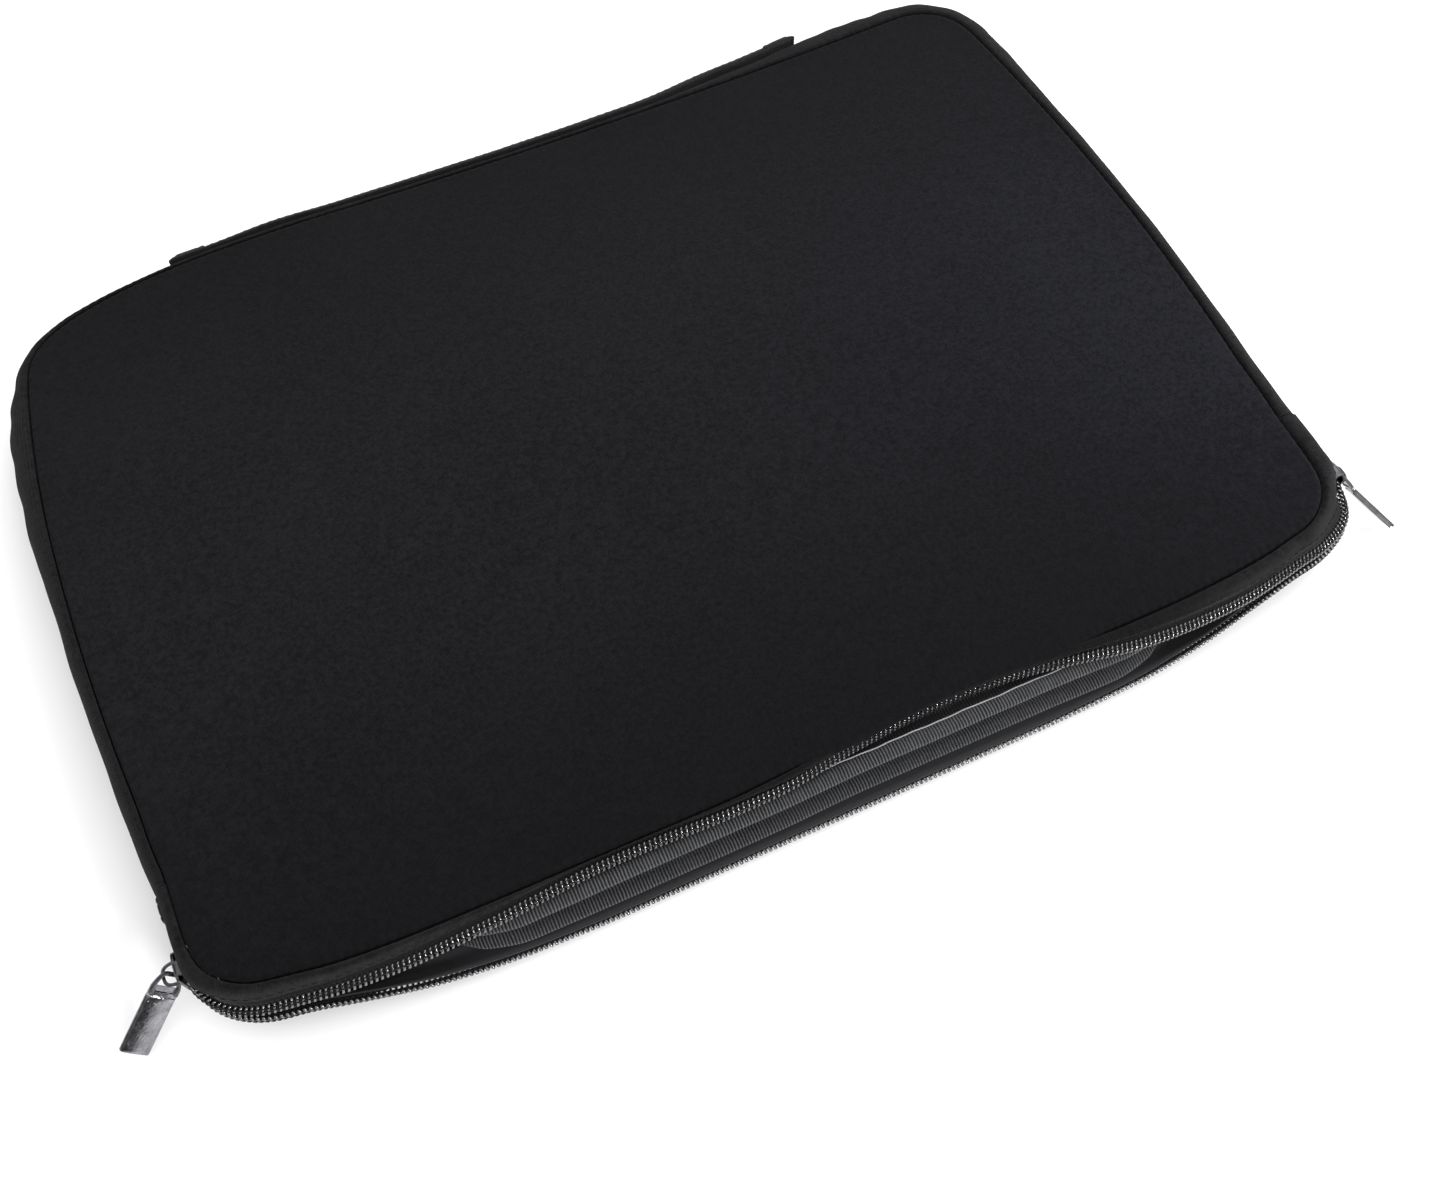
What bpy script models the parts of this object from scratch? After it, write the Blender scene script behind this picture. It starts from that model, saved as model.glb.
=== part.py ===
# Neoprene laptop sleeve with a wrap-round zip, two sliders and a spine handle.
#
# Frame: +X along the sleeve's width, the zipped mouth faces -Y, the spine and
# its handle face +Y, +Z up.  The origin is on the underside of the bottom
# panel, at the middle of the sleeve, where it rests on a table.
# The sleeve lies flat with its mouth unzipped and standing open.
# Dimensions below are in millimetres and are turned into metres when the
# meshes are written.

import bpy
import bmesh
import math
import numpy as np
from mathutils import Vector, Matrix

MM = 0.001

# ----------------------------------------------------------------- dimensions
GAP = 0.30                 # clearance kept between neighbouring pieces
SEAM_GAP = 0.30            # gusset's edge outside the seam line

HALF_W = 180.0             # half width between the two side seams of the panels
HALF_D = 127.8             # half depth between the front and the spine seam
PANEL_T = 3.5              # neoprene of the two big panels
EDGE_THIN = 1.5            # the top panel is skived this much at the mouth
STRIP_T = 3.0              # neoprene of the gusset and the mouth strips
LINING_T = 0.9             # knitted lining
TOP_Z = 28.0               # height of the top seam above the table
EDGE_Z = 2.4               # how far the bottom panel curls up to its seam
CROWN = 2.0                # crown of the top panel
SINK_L, SINK_M, SINK_R = 2.2, 11.4, 5.9    # the empty back of the pocket sinks

R_NEAR = 18.0              # panel corner radius at the mouth
R_FAR_R = 21.0             # panel corner radius, spine end, right
FAR_L_X, FAR_L_Y, FAR_L_E = 72.0, 31.0, 2.15   # slack corner, spine end, left
SINK_CORNER = 5.0          # and how much lower it lies
BULGE_L, BULGE_R = 6.0, 4.6

ZIP_Z = 15.2               # height of the closed zip line at the corners
COIL_W, COIL_T = 3.6, 2.0  # one side of a nylon coil, about size 7
COIL_HALF_GAP = 1.1        # coil heads stand this far off the zip line
TAPE_T = 0.5
TAPE_GAP = 0.25
EDGE_GAP = 1.5             # bare tape between the coil and the strip's edge
EDGE_T = 2.0               # the strip is stitched down to this at its edge
ZIP_END_Y = -98.5          # where the coils end on both sides
STRIP_END_Y = -90.3        # where the mouth strips meet the gusset
GUSSET_END_Y = -90.0
WIDE_R_END, WIDE_L_END = 191.7, -187.0   # widest points of the gusset's ends

# the zip path: straight down the left side, round the left corner, across the
# mouth, round the right corner, straight up the right side
ZL_C, ZL_R = (-162.2, -111.3), 22.8      # corner centre, radius to coil middle
ZR_C, ZR_R = (167.0, -110.8), 22.9
SLIDER_TURN = 38.0         # degrees round the corner before the lips part
LEVEL = 52.0               # the section stays the same this far round

SLIDER_L = 9.0
SLIDER_HALF = 5.9          # half height of the slider's plates
PLATE_T = 0.9
GUARD_T = 1.6
HOLE_N = 3.8               # bridge window, out from the plate
HOLE_T = 5.2               # bridge window, along the zip
WIRE = 0.95

PULL_REACH = 24.5          # from the hinge to the puller's end
PULL_W = 8.5
PULL_T = 1.8
PULL_TOP_W = 5.2
WINDOW_L = 7.6

HANDLE_L, HANDLE_R = 125.0, 121.0   # outer ends of the handle's sewn tabs
TAB_L = 13.5
STRAP_W = 14.0
STRAP_T = 2.6


# -------------------------------------------------------------------- helpers
def smooth(t):
    t = np.clip(t, 0.0, 1.0)
    return t * t * (3.0 - 2.0 * t)


def table(xs, ys):
    """Smooth curve through the given stations (cubic Hermite, limited slope)."""
    xs = np.asarray(xs, float)
    ys = np.asarray(ys, float)
    d = np.diff(ys) / np.diff(xs)
    m = np.zeros_like(ys)
    for i in range(1, len(xs) - 1):
        if d[i - 1] * d[i] > 0:
            w1 = 2 * (xs[i + 1] - xs[i]) + (xs[i] - xs[i - 1])
            w2 = (xs[i + 1] - xs[i]) + 2 * (xs[i] - xs[i - 1])
            m[i] = (w1 + w2) / (w1 / d[i - 1] + w2 / d[i])

    def f(x):
        x = min(max(x, xs[0]), xs[-1])
        i = int(min(max(np.searchsorted(xs, x) - 1, 0), len(xs) - 2))
        h = xs[i + 1] - xs[i]
        t = (x - xs[i]) / h
        return ((2 * t**3 - 3 * t**2 + 1) * ys[i] + (t**3 - 2 * t**2 + t) * h * m[i]
                + (-2 * t**3 + 3 * t**2) * ys[i + 1] + (t**3 - t**2) * h * m[i + 1])
    return f


def arc(c, r, a0, a1, n):
    """Points on an arc, angles in degrees."""
    return [np.array([c[0] + r * math.cos(math.radians(a0 + (a1 - a0) * i / n)),
                      c[1] + r * math.sin(math.radians(a0 + (a1 - a0) * i / n))])
            for i in range(n + 1)]


def side(p, q, out, n, bow=0.0, lead=0.0, tail=0.0):
    """Points strictly between p and q, bowed outwards; lead and tail are the
    fractions of the side that stay straight."""
    p, q = np.array(p, float), np.array(q, float)
    pts = []
    for i in range(1, n):
        t = i / n
        u = min(max((t - lead) / (1 - lead - tail), 0.0), 1.0)
        b = bow * (1 - (2 * u - 1) ** 2) ** 0.8
        pts.append(p + (q - p) * t + np.array(out) * b)
    return pts


def ray(p, d, poly):
    """Distance from p along d to the closed outline poly (nearest crossing)."""
    best = None
    p = np.asarray(p, float)
    d = np.asarray(d, float)
    n = len(poly)
    for i in range(n):
        a, b = poly[i], poly[(i + 1) % n]
        e = b - a
        det = d[0] * (-e[1]) + e[0] * d[1]
        if abs(det) < 1e-12:
            continue
        w = a - p
        t = (w[0] * (-e[1]) + e[0] * w[1]) / det
        u = (d[0] * w[1] - d[1] * w[0]) / det
        if -1e-9 <= u <= 1 + 1e-9 and t > -1e-6 and (best is None or t < best):
            best = t
    return best


def normals(pts, closed=False):
    """Outward normals of a counter-clockwise path."""
    out = []
    n = len(pts)
    for i in range(n):
        a = pts[(i - 1) % n] if (closed or i > 0) else pts[i]
        b = pts[(i + 1) % n] if (closed or i < n - 1) else pts[i]
        t = b - a
        t = t / np.linalg.norm(t)
        out.append(np.array([t[1], -t[0]]))
    return out


def inset(poly, dist):
    """Closed outline moved inwards; dist is a number or a function of a point."""
    ns = normals(poly, closed=True)
    return [p - nn * (dist(p) if callable(dist) else dist) for p, nn in zip(poly, ns)]


# ------------------------------------------------------------- scene and mesh
def start_scene():
    for ob in list(bpy.data.objects):
        bpy.data.objects.remove(ob, do_unlink=True)


MATERIALS = {}


def material(name, rgb, rough, metal=0.0):
    if name not in MATERIALS:
        m = bpy.data.materials.new(name)
        m.use_nodes = True
        b = m.node_tree.nodes["Principled BSDF"]
        b.inputs["Base Color"].default_value = (*rgb, 1.0)
        b.inputs["Roughness"].default_value = rough
        b.inputs["Metallic"].default_value = metal
        m.diffuse_color = (*rgb, 1.0)
        MATERIALS[name] = m
    return MATERIALS[name]


def finish(name, bm, mat, angle=35.0, parent=None, at=(0, 0, 0)):
    """Write a bmesh, whose coordinates are millimetres in the sleeve's frame,
    to an object whose origin is at `at` (millimetres)."""
    bmesh.ops.remove_doubles(bm, verts=bm.verts, dist=0.001)
    bmesh.ops.recalc_face_normals(bm, faces=bm.faces)
    at = Vector(at)
    for v in bm.verts:
        v.co = (v.co - at) * MM
    me = bpy.data.meshes.new(name)
    bm.to_mesh(me)
    bm.free()
    me.shade_smooth()
    me.set_sharp_from_angle(angle=math.radians(angle))
    me.materials.append(mat)
    ob = bpy.data.objects.new(name, me)
    bpy.context.scene.collection.objects.link(ob)
    if parent is not None:
        ob.parent = parent
        ob.location = at * MM - parent.location
    else:
        ob.location = at * MM
    return ob


def loft(name, sections, mat, closed=False, angle=35.0, parent=None, at=(0, 0, 0)):
    """Skin a run of equal sections (each a closed ring of 3-D points)."""
    bm = bmesh.new()
    rings = [[bm.verts.new(Vector(p)) for p in sec] for sec in sections]
    n, m = len(rings), len(rings[0])
    for i in range(n if closed else n - 1):
        a, b = rings[i], rings[(i + 1) % n]
        for j in range(m):
            k = (j + 1) % m
            bm.faces.new((a[j], a[k], b[k], b[j]))
    if not closed:
        bm.faces.new(list(reversed(rings[0])))
        bm.faces.new(rings[-1])
    return finish(name, bm, mat, angle, parent, at)


def slab(name, outline, fractions, z_top, z_bot, mat):
    """A sheet over a star-shaped outline: rings shrink towards the middle and
    both faces follow height functions."""
    bm = bmesh.new()
    top, bot = [], []
    for f in fractions:
        top.append([bm.verts.new((p[0] * f, p[1] * f, z_top(p[0] * f, p[1] * f))) for p in outline])
        bot.append([bm.verts.new((p[0] * f, p[1] * f, z_bot(p[0] * f, p[1] * f))) for p in outline])
    n = len(outline)
    for rows, flip in ((top, False), (bot, True)):
        for a, b in zip(rows[:-1], rows[1:]):
            for j in range(n):
                k = (j + 1) % n
                f = (a[j], a[k], b[k], b[j])
                bm.faces.new(tuple(reversed(f)) if flip else f)
    for j in range(n):
        k = (j + 1) % n
        bm.faces.new((bot[0][j], bot[0][k], top[0][k], top[0][j]))
    ct = bm.verts.new((0, 0, z_top(0, 0)))
    cb = bm.verts.new((0, 0, z_bot(0, 0)))
    for j in range(n):
        k = (j + 1) % n
        bm.faces.new((top[-1][j], top[-1][k], ct))
        bm.faces.new((bot[-1][k], bot[-1][j], cb))
    return finish(name, bm, mat, 40.0)


# ------------------------------------------------------------ panel outlines
near_y = table([-162, -156.5, -143, -124, -99, -68, -33, 0, 39, 62, 81, 100, 119, 138, 156.5, 162],
               [-127.8, -127.8, -130.2, -131.9, -132.7, -133.0, -133.4, -131.8, -129.2,
                -130.0, -132.2, -132.6, -132.0, -130.5, -127.8, -127.8])
near_lift = table([-162, -100, -60, -20, 39, 70, 100, 162], [0, 0, 0.4, 0.6, 1.4, 0.9, 0, 0])


def far_left(n=12):
    """The slack far left corner: a long flat quarter round."""
    ax, ay, e = FAR_L_X, FAR_L_Y, 2.0 / FAR_L_E
    c = (-HALF_W + ax, HALF_D - ay)
    pts = []
    for i in range(n + 1):
        a = math.radians(90 + 90 * i / n)
        pts.append(np.array([c[0] - ax * abs(math.cos(a)) ** e, c[1] + ay * abs(math.sin(a)) ** e]))
    return pts


def top_outline(na=8, ns=12, nn=26):
    fr = (HALF_W - R_FAR_R, HALF_D - R_FAR_R)
    fl = (-HALF_W + FAR_L_X, HALF_D - FAR_L_Y)
    nl = (-HALF_W + R_NEAR, -HALF_D + R_NEAR)
    nr = (HALF_W - R_NEAR, -HALF_D + R_NEAR)
    p = []
    p += arc(fr, R_FAR_R, 0, 90, na)
    p += side((fr[0], HALF_D), (fl[0], HALF_D), (0, 1), ns)
    p += far_left()
    p += side((-HALF_W, fl[1]), (-HALF_W, nl[1]), (-1, 0), ns, BULGE_L, 0.0, 0.11)
    p += arc(nl, R_NEAR, 180, 270, na)
    for i in range(1, nn):
        x = -162 + 324 * i / nn
        p.append(np.array([x, near_y(x)]))
    p += arc(nr, R_NEAR, 270, 360, na)
    p += side((HALF_W, nr[1]), (HALF_W, fr[1]), (1, 0), ns, BULGE_R, 0.11, 0.0)
    return p


# how far the gusset bulges past the top seam, and how far the bottom seam
# lies past it, by bearing from the middle of the sleeve
BEARING = [-31, -27, -15, 0, 15, 30, 38, 43, 47, 55, 70, 90, 110, 125, 135, 147, 153, 158, 164, 172, 180,
           195, 202, 211]
bulge = table(BEARING, [9.6, 9.6, 9.0, 8.4, 8.6, 10.0, 11.0, 11.4, 10.4, 7.2, 4.2, 3.8, 4.0, 4.0, 3.4, 5.2, 8.0,
                        9.6, 9.0, 7.6, 6.4, 6.0, 6.0, 5.4])
under = table(BEARING, [0.0, 0.0, 1.0, 2.5, 4.5, 7.5, 8.6, 8.6, 7.6, 5.0, 2.8, 2.2, 2.2, 1.8, 1.2, 1.0, 0.8,
                        0.6, 0.4, 0.2, 0.0, 0.0, 0.0, 0.0])


def bearing(p):
    a = math.degrees(math.atan2(p[1], p[0]))
    return a + 360.0 if a < -32.0 else a


def bottom_outline(top):
    """Follows the top seam round the sides and the spine; plain at the mouth."""
    ns = normals(top, closed=True)
    out = []
    for q, n in zip(top, ns):
        if q[1] > -109.0:
            out.append(q + n * (under(bearing(q)) * float(smooth((q[1] + 100.0) / 20.0))))
        elif abs(q[0]) >= 162.0 - 1e-6:
            out.append(q)
        else:
            u = q[0] / 162.0
            out.append(np.array([q[0], -HALF_D - 5.2 * (1 - u * u) ** 1.25]))
    return out


TOP = top_outline()
BOT = bottom_outline(TOP)


def radial(poly):
    """Fraction of the way from the middle to the outline, for any point."""
    ang = np.array([math.atan2(q[1], q[0]) for q in poly])
    rad = np.array([math.hypot(q[0], q[1]) for q in poly])
    o = np.argsort(ang)
    ang, rad = ang[o], rad[o]
    ang = np.concatenate([ang[-1:] - 2 * math.pi, ang, ang[:1] + 2 * math.pi])
    rad = np.concatenate([rad[-1:], rad, rad[:1]])
    return lambda x, y: math.hypot(x, y) / float(np.interp(math.atan2(y, x), ang, rad))


bot_frac = radial(BOT)


def z_top(x, y):
    """Upper surface of the top panel."""
    u = x / HALF_W
    crown = CROWN * max(0.0, 1 - (x / 186.0) ** 2) * max(0.0, 1 - (y / 134.0) ** 2)
    s = float(smooth((y + 20.0) / (HALF_D + 20.0)))
    u = max(-1.0, min(1.0, u))
    sink = SINK_L * u * (u - 1) / 2 + SINK_M * (1 - u * u) + SINK_R * u * (u + 1) / 2
    lift = near_lift(x) * float(smooth((-y - 70.0) / 58.0))
    slack = SINK_CORNER * float(smooth((-x - 70.0) / 90.0)) * float(smooth((y - 30.0) / 80.0))
    return TOP_Z + crown - s * sink + lift - slack


def edge_z(x, y):
    """Height of the bottom seam: curled up, but flat across the mouth."""
    if y > -100:
        return EDGE_Z
    w = float(smooth((150.0 - abs(x)) / 45.0)) * float(smooth((-y - 100.0) / 20.0))
    return EDGE_Z + (0.75 - EDGE_Z) * w


def z_bot(x, y):
    """Underside of the bottom panel."""
    f = bot_frac(x, y)
    return edge_z(x, y) * float(smooth((f - 0.88) / 0.24) * 2.0) if f > 0.88 else 0.0


# ---------------------------------------------------------------- zip stations
# head line of each coil across the mouth: distance forward, height, and the
# angle that the coil leans back at (90 = upright, 180 = lying flat)
UX = [-162.2, -152, -143, -124, -99, -68, -33, 0, 39, 62, 81, 100, 119, 138, 150, 160, 167]
up_z = table(UX, [17.6, 18.4, 19.2, 21.2, 23.0, 24.0, 24.2, 24.0, 23.8, 24.0, 24.2, 23.4, 21.6, 19.4, 18.4, 17.8, 17.4])
up_a = table(UX, [126, 130, 132, 138, 142, 142, 138, 124, 108, 114, 134, 142, 138, 130, 126, 122, 120])
up_gap = table(UX, [1.5, 1.5, 1.5, 1.3, 0.9, 0.4, 0.4, 0.4, 0.3, 0.3, 0.4, 0.9, 1.3, 1.5, 1.5, 1.5, 1.5])
up_th = table(UX, [3.0, 3.0, 3.0, 3.0, 2.6, 1.8, 1.8, 1.6, 1.5, 1.5, 2.0, 2.8, 3.0, 3.0, 3.0, 3.0, 3.0])
up_y25 = table([-162.2, -157.5, -143, -124, -114, -99, -87, -68.7, -56.5, -44.4, -33.7, -16.2, 0.8, 14,
                38.9, 59.9, 81.4, 100.5, 119.2, 137.9, 156, 167],
               [-136.6, -137.5, -139.4, -140.1, -139.7, -139.0, -138.0, -136.9, -137.0, -137.5, -137.9,
                -137.6, -135.3, -133.9, -132.4, -133.8, -137.6, -141.0, -142.0, -141.4, -138.8, -136.9])


def up_y(x):
    return up_y25(x) + 0.32 * (25.2 - up_z(x))


LX = [-162.2, -150, -140, -124, -99, -68, 60, 100, 125, 145, 155, 167]
lo_y = table(LX, [-134.3, -137.0, -139.2, -142.0, -144.0, -144.7, -144.7, -144.0, -142.0, -138.8, -136.9, -134.5])
lo_z = table(LX, [17.0, 18.6, 20.6, 24.0, 27.0, 28.0, 28.0, 27.2, 24.2, 20.0, 18.2, 17.0])
lo_a = table(LX, [100, 112, 124, 144, 166, 174, 174, 166, 144, 124, 112, 100])


def zip_stations(upper):
    """Along the zip: plan point of the coil head, outward normal, head height
    (the lower side is worked out mirrored), lean angle, strip gap, thickness."""
    st = []
    z0 = ZIP_Z + COIL_HALF_GAP
    xl = ZL_C[0] - ZL_R
    xr = ZR_C[0] + ZR_R
    fy, fz, fa = (up_y, up_z, up_a) if upper else (lo_y, lo_z, lo_a)
    x0, x1, n = ZL_C[0], ZR_C[0], 27

    def corner(c, r, sx, x, degs):
        """Level round the start of the corner, then easing into the mouth."""
        out = []
        for a in degs:
            w = float(smooth((a - LEVEL) / (90.0 - LEVEL)))
            rr = r + (c[1] - fy(x) - r) * w
            d = np.array([sx * math.cos(math.radians(a)), -math.sin(math.radians(a))])
            out.append((np.array(c) + d * rr, d, z0 + (fz(x) - z0) * w, 90.0 + (fa(x) - 90.0) * w,
                        EDGE_GAP, STRIP_T))
        return out

    degs = (0, 9, 18, 27, 36, 44, 52, 60, 68, 76, 83)
    for y in (STRIP_END_Y, ZIP_END_Y, -102.0, -106.0):
        st.append((np.array([xl, y]), np.array([-1.0, 0.0]), z0, 90.0, EDGE_GAP, STRIP_T))
    st += corner(ZL_C, ZL_R, -1, x0, degs)
    xs = sorted([x0 + (x1 - x0) * i / n for i in range(n + 1)] + [x0 + 3.0, x1 - 2.5, x1 - 5.0])
    for x in xs:
        s = (fy(x + 0.5) - fy(x - 0.5)) if x0 < x < x1 else 0.0
        t = np.array([1.0, s])
        t /= np.linalg.norm(t)
        st.append((np.array([x, fy(x)]), np.array([t[1], -t[0]]), fz(x), fa(x),
                   up_gap(x) if upper else EDGE_GAP, up_th(x) if upper else STRIP_T))
    st += reversed(corner(ZR_C, ZR_R, 1, x1, degs))
    for y in (-106.0, -102.0, ZIP_END_Y, STRIP_END_Y):
        st.append((np.array([xr, y]), np.array([1.0, 0.0]), z0, 90.0, EDGE_GAP, STRIP_T))
    return st


def bezier(p0, p1, p2, p3, t):
    return (p0 * (1 - t) ** 3 + 3 * p1 * t * (1 - t) ** 2 + 3 * p2 * t * t * (1 - t) + p3 * t ** 3)


def bezier_d(p0, p1, p2, p3, t):
    return 3 * (p1 - p0) * (1 - t) ** 2 + 6 * (p2 - p1) * t * (1 - t) + 3 * (p3 - p2) * t * t


class Station:
    """One cross-section of the mouth, drawn in (n, z): n runs outwards from the
    panel's seam.  For the lower side z is mirrored about the zip line."""

    def __init__(self, head, nrm, zh, lean, gap, th, upper):
        self.upper = upper
        outline = TOP if upper else BOT
        d = ray(head, -nrm, outline)
        self.seam = head - nrm * d
        self.nrm = nrm
        x, y = self.seam
        self.zs = z_top(x, y) if upper else 2 * ZIP_Z - edge_z(x, y)
        a = math.radians(lean)
        self.back = np.array([math.cos(a), math.sin(a)])       # head to sewn edge
        self.out = np.array([math.sin(a), -math.cos(a)])       # off the coil's face
        self.head = np.array([d, zh])
        self.coil = self.head + self.back * (COIL_W / 2)
        self.base = self.coil - self.out * (COIL_T / 2 + TAPE_GAP)
        self.edge = self.base + self.back * (COIL_W / 2 + gap)
        self.th = th
        self.p0 = np.array([GAP / 2, self.zs - th])
        span = np.linalg.norm(self.edge - self.p0)
        k = 0.42 * span
        self.ctrl = (self.p0, self.p0 + np.array([k, -0.02 * k]), self.edge + self.back * k, self.edge)

    def xyz(self, q):
        z = q[1] if self.upper else 2 * ZIP_Z - q[1]
        return (self.seam[0] + self.nrm[0] * q[0], self.seam[1] + self.nrm[1] * q[0], z)

    def follow(self, t, off):
        """Point at t along the strip's inner face, moved off it outwards."""
        p = bezier(*self.ctrl, t)
        d = bezier_d(*self.ctrl, t)
        d = d / np.linalg.norm(d)
        # the face's normal leans from straight up at the seam to the coil's face
        n = np.array([-d[1], d[0]])
        if n[1] * 0.5 + n[0] < 0:
            n = -n
        return p + n * off

    def fouls(self, q):
        """Too close to the panel's edge or its underside."""
        return q[0] < GAP / 2 + 0.5 and q[1] > self.zs - PANEL_T - 0.1

    def strip(self, k=6):
        outer = [np.array([GAP / 2, self.zs])]
        end = self.edge + self.out * min(self.th, EDGE_T)
        c = (outer[0],
             outer[0] + np.array([0.5 * np.linalg.norm(end - outer[0]), 0.0]),
             end + self.back * 0.42 * np.linalg.norm(end - outer[0]), end)
        outer = [bezier(*c, i / k) for i in range(k + 1)]
        inner = [bezier(*self.ctrl, i / k) for i in range(k + 1)]
        return [self.xyz(p) for p in outer] + [self.xyz(p) for p in reversed(inner)]

    def tape(self, k=3):
        """Woven tape: under the coil and on under the strip."""
        a = self.base - self.back * 0.6
        rows = [a, self.edge]
        line = [(a - self.out * TAPE_GAP, a - self.out * (TAPE_GAP + TAPE_T)),
                (self.edge - self.out * TAPE_GAP, self.edge - self.out * (TAPE_GAP + TAPE_T))]
        run = 0.62                 # how far it goes on before the panel's edge
        while run > 0.1 and self.fouls(self.follow(1 - run, -TAPE_GAP)):
            run -= 0.04
        for i in range(1, k + 1):
            t = 1 - run * i / k
            line.append((self.follow(t, -TAPE_GAP), self.follow(t, -(TAPE_GAP + TAPE_T))))
        return [self.xyz(p[0]) for p in line] + [self.xyz(p[1]) for p in reversed(line)]

    def coil_ring(self, shift=0.0, m=8):
        pts = []
        for i in range(m):
            a = 2 * math.pi * (i + 0.5) / m
            ca, sa = math.cos(a), math.sin(a)
            u = math.copysign(abs(ca) ** 0.75, ca) * COIL_W / 2
            v = math.copysign(abs(sa) ** 0.75, sa) * COIL_T / 2
            p = self.coil + self.back * u + self.out * v + np.array([0.0, -shift])
            pts.append(self.xyz(p))
        return pts


UPPER = [Station(*s, True) for s in zip_stations(True)]
LOWER = [Station(*s, False) for s in zip_stations(False)]


# -------------------------------------------------------------- gusset stations
def gusset_path():
    """Widest line of the gusset in plan, from the right mouth strip's end round
    the spine to the left one, with its outward normals."""
    ns = normals(TOP, closed=True)
    run = [(q + n * bulge(bearing(q)), n) for q, n in zip(TOP, ns) if q[1] > -84.0]
    run.sort(key=lambda e: bearing(e[0]))
    first = (np.array([run[0][0][0], GUSSET_END_Y]), np.array([1.0, 0.0]))
    last = (np.array([run[-1][0][0] , GUSSET_END_Y]), np.array([-1.0, 0.0]))
    fx = WIDE_R_END, WIDE_L_END
    first = (np.array([fx[0], GUSSET_END_Y]), first[1])
    last = (np.array([fx[1], GUSSET_END_Y]), last[1])
    return [first] + run + [last]


def spine_y(x):
    """Widest line of the gusset behind the handle."""
    return HALF_D + bulge(math.degrees(math.atan2(HALF_D, x)))


class GussetStation:
    def __init__(self, w, n):
        self.w, self.n = w, n
        self.dt = ray(w, -n, TOP) - SEAM_GAP
        self.db = ray(w, -n, BOT) - SEAM_GAP
        st, sb = w - n * self.dt, w - n * self.db
        self.zt = z_top(*st)
        self.zb = edge_z(*sb)
        self.zm = 0.5 * (self.zt + self.zb)

    def xyz(self, q):
        return (self.w[0] + self.n[0] * q[0], self.w[1] + self.n[1] * q[0], q[1])

    def skin(self, off, k=5):
        """Curve from the top seam to the bottom seam, `off` inside the outer face."""
        pts = []
        for i in range(k + 1):
            a = math.pi / 2 * (1 - i / k)
            pts.append((-self.dt + max(self.dt - off, 0.6) * math.cos(a),
                        self.zm + (self.zt - self.zm - off) * math.sin(a)))
        for i in range(1, k + 1):
            a = math.pi / 2 * i / k
            pts.append((-self.db + max(self.db - off, 0.6) * math.cos(a),
                        self.zm - (self.zm - self.zb - off) * math.sin(a)))
        return pts

    def section(self):
        return [self.xyz(p) for p in self.skin(0.0)] + [self.xyz(p) for p in reversed(self.skin(STRIP_T))]

    def binding(self, upper):
        d = self.dt if upper else self.db
        n0, n1 = -d - 5.0, -d - 0.7
        if upper:
            z0 = self.zt - PANEL_T - GAP
            ring = [(n0, z0), (n1, z0), (n1 + 0.2, z0 - 1.0), (n1 - 0.6, z0 - 1.7), (n0 + 0.6, z0 - 1.7), (n0 - 0.2, z0 - 1.0)]
        else:
            z0 = self.zb + PANEL_T + GAP
            ring = [(n0, z0), (n1, z0), (n1 + 0.2, z0 + 1.0), (n1 - 0.6, z0 + 1.7), (n0 + 0.6, z0 + 1.7), (n0 - 0.2, z0 + 1.0)]
        return [self.xyz(p) for p in ring]


def build_gusset(fabric, knit):
    sts = [GussetStation(w, n) for w, n in gusset_path()]
    loft("spine_gusset", [s.section() for s in sts], fabric)
    loft("upper_seam_binding", [s.binding(True) for s in sts[1:-1]], knit)
    loft("lower_seam_binding", [s.binding(False) for s in sts[1:-1]], knit)


# ---------------------------------------------------------------------- panels
FRACTIONS = (1.0, 0.95, 0.86, 0.66, 0.36)


def build_panels(fabric, lining):
    top = inset(TOP, GAP / 2)
    bot = inset(BOT, GAP / 2)
    slab("top_panel", top, FRACTIONS, z_top,
         lambda x, y: z_top(x, y) - PANEL_T + EDGE_THIN * float(smooth((-y - 112.0) / 12.0)), fabric)
    slab("bottom_panel", bot, FRACTIONS, lambda x, y: z_bot(x, y) + PANEL_T, z_bot, fabric)

    def room(p):
        return 6.4 + 4.0 * float(smooth((-p[1] - 96.0) / 22.0))
    t_in = inset(TOP, room)[::2]
    b_in = inset(BOT, room)[::2]
    dt = PANEL_T + 0.55
    slab("top_lining", t_in, FRACTIONS, lambda x, y: z_top(x, y) - dt,
         lambda x, y: z_top(x, y) - dt - LINING_T, lining)
    db = PANEL_T + 0.4
    slab("bottom_lining", b_in, (1.0, 0.9, 0.6, 0.3), lambda x, y: z_bot(x, y) + db + LINING_T,
         lambda x, y: z_bot(x, y) + db, lining)


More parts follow.
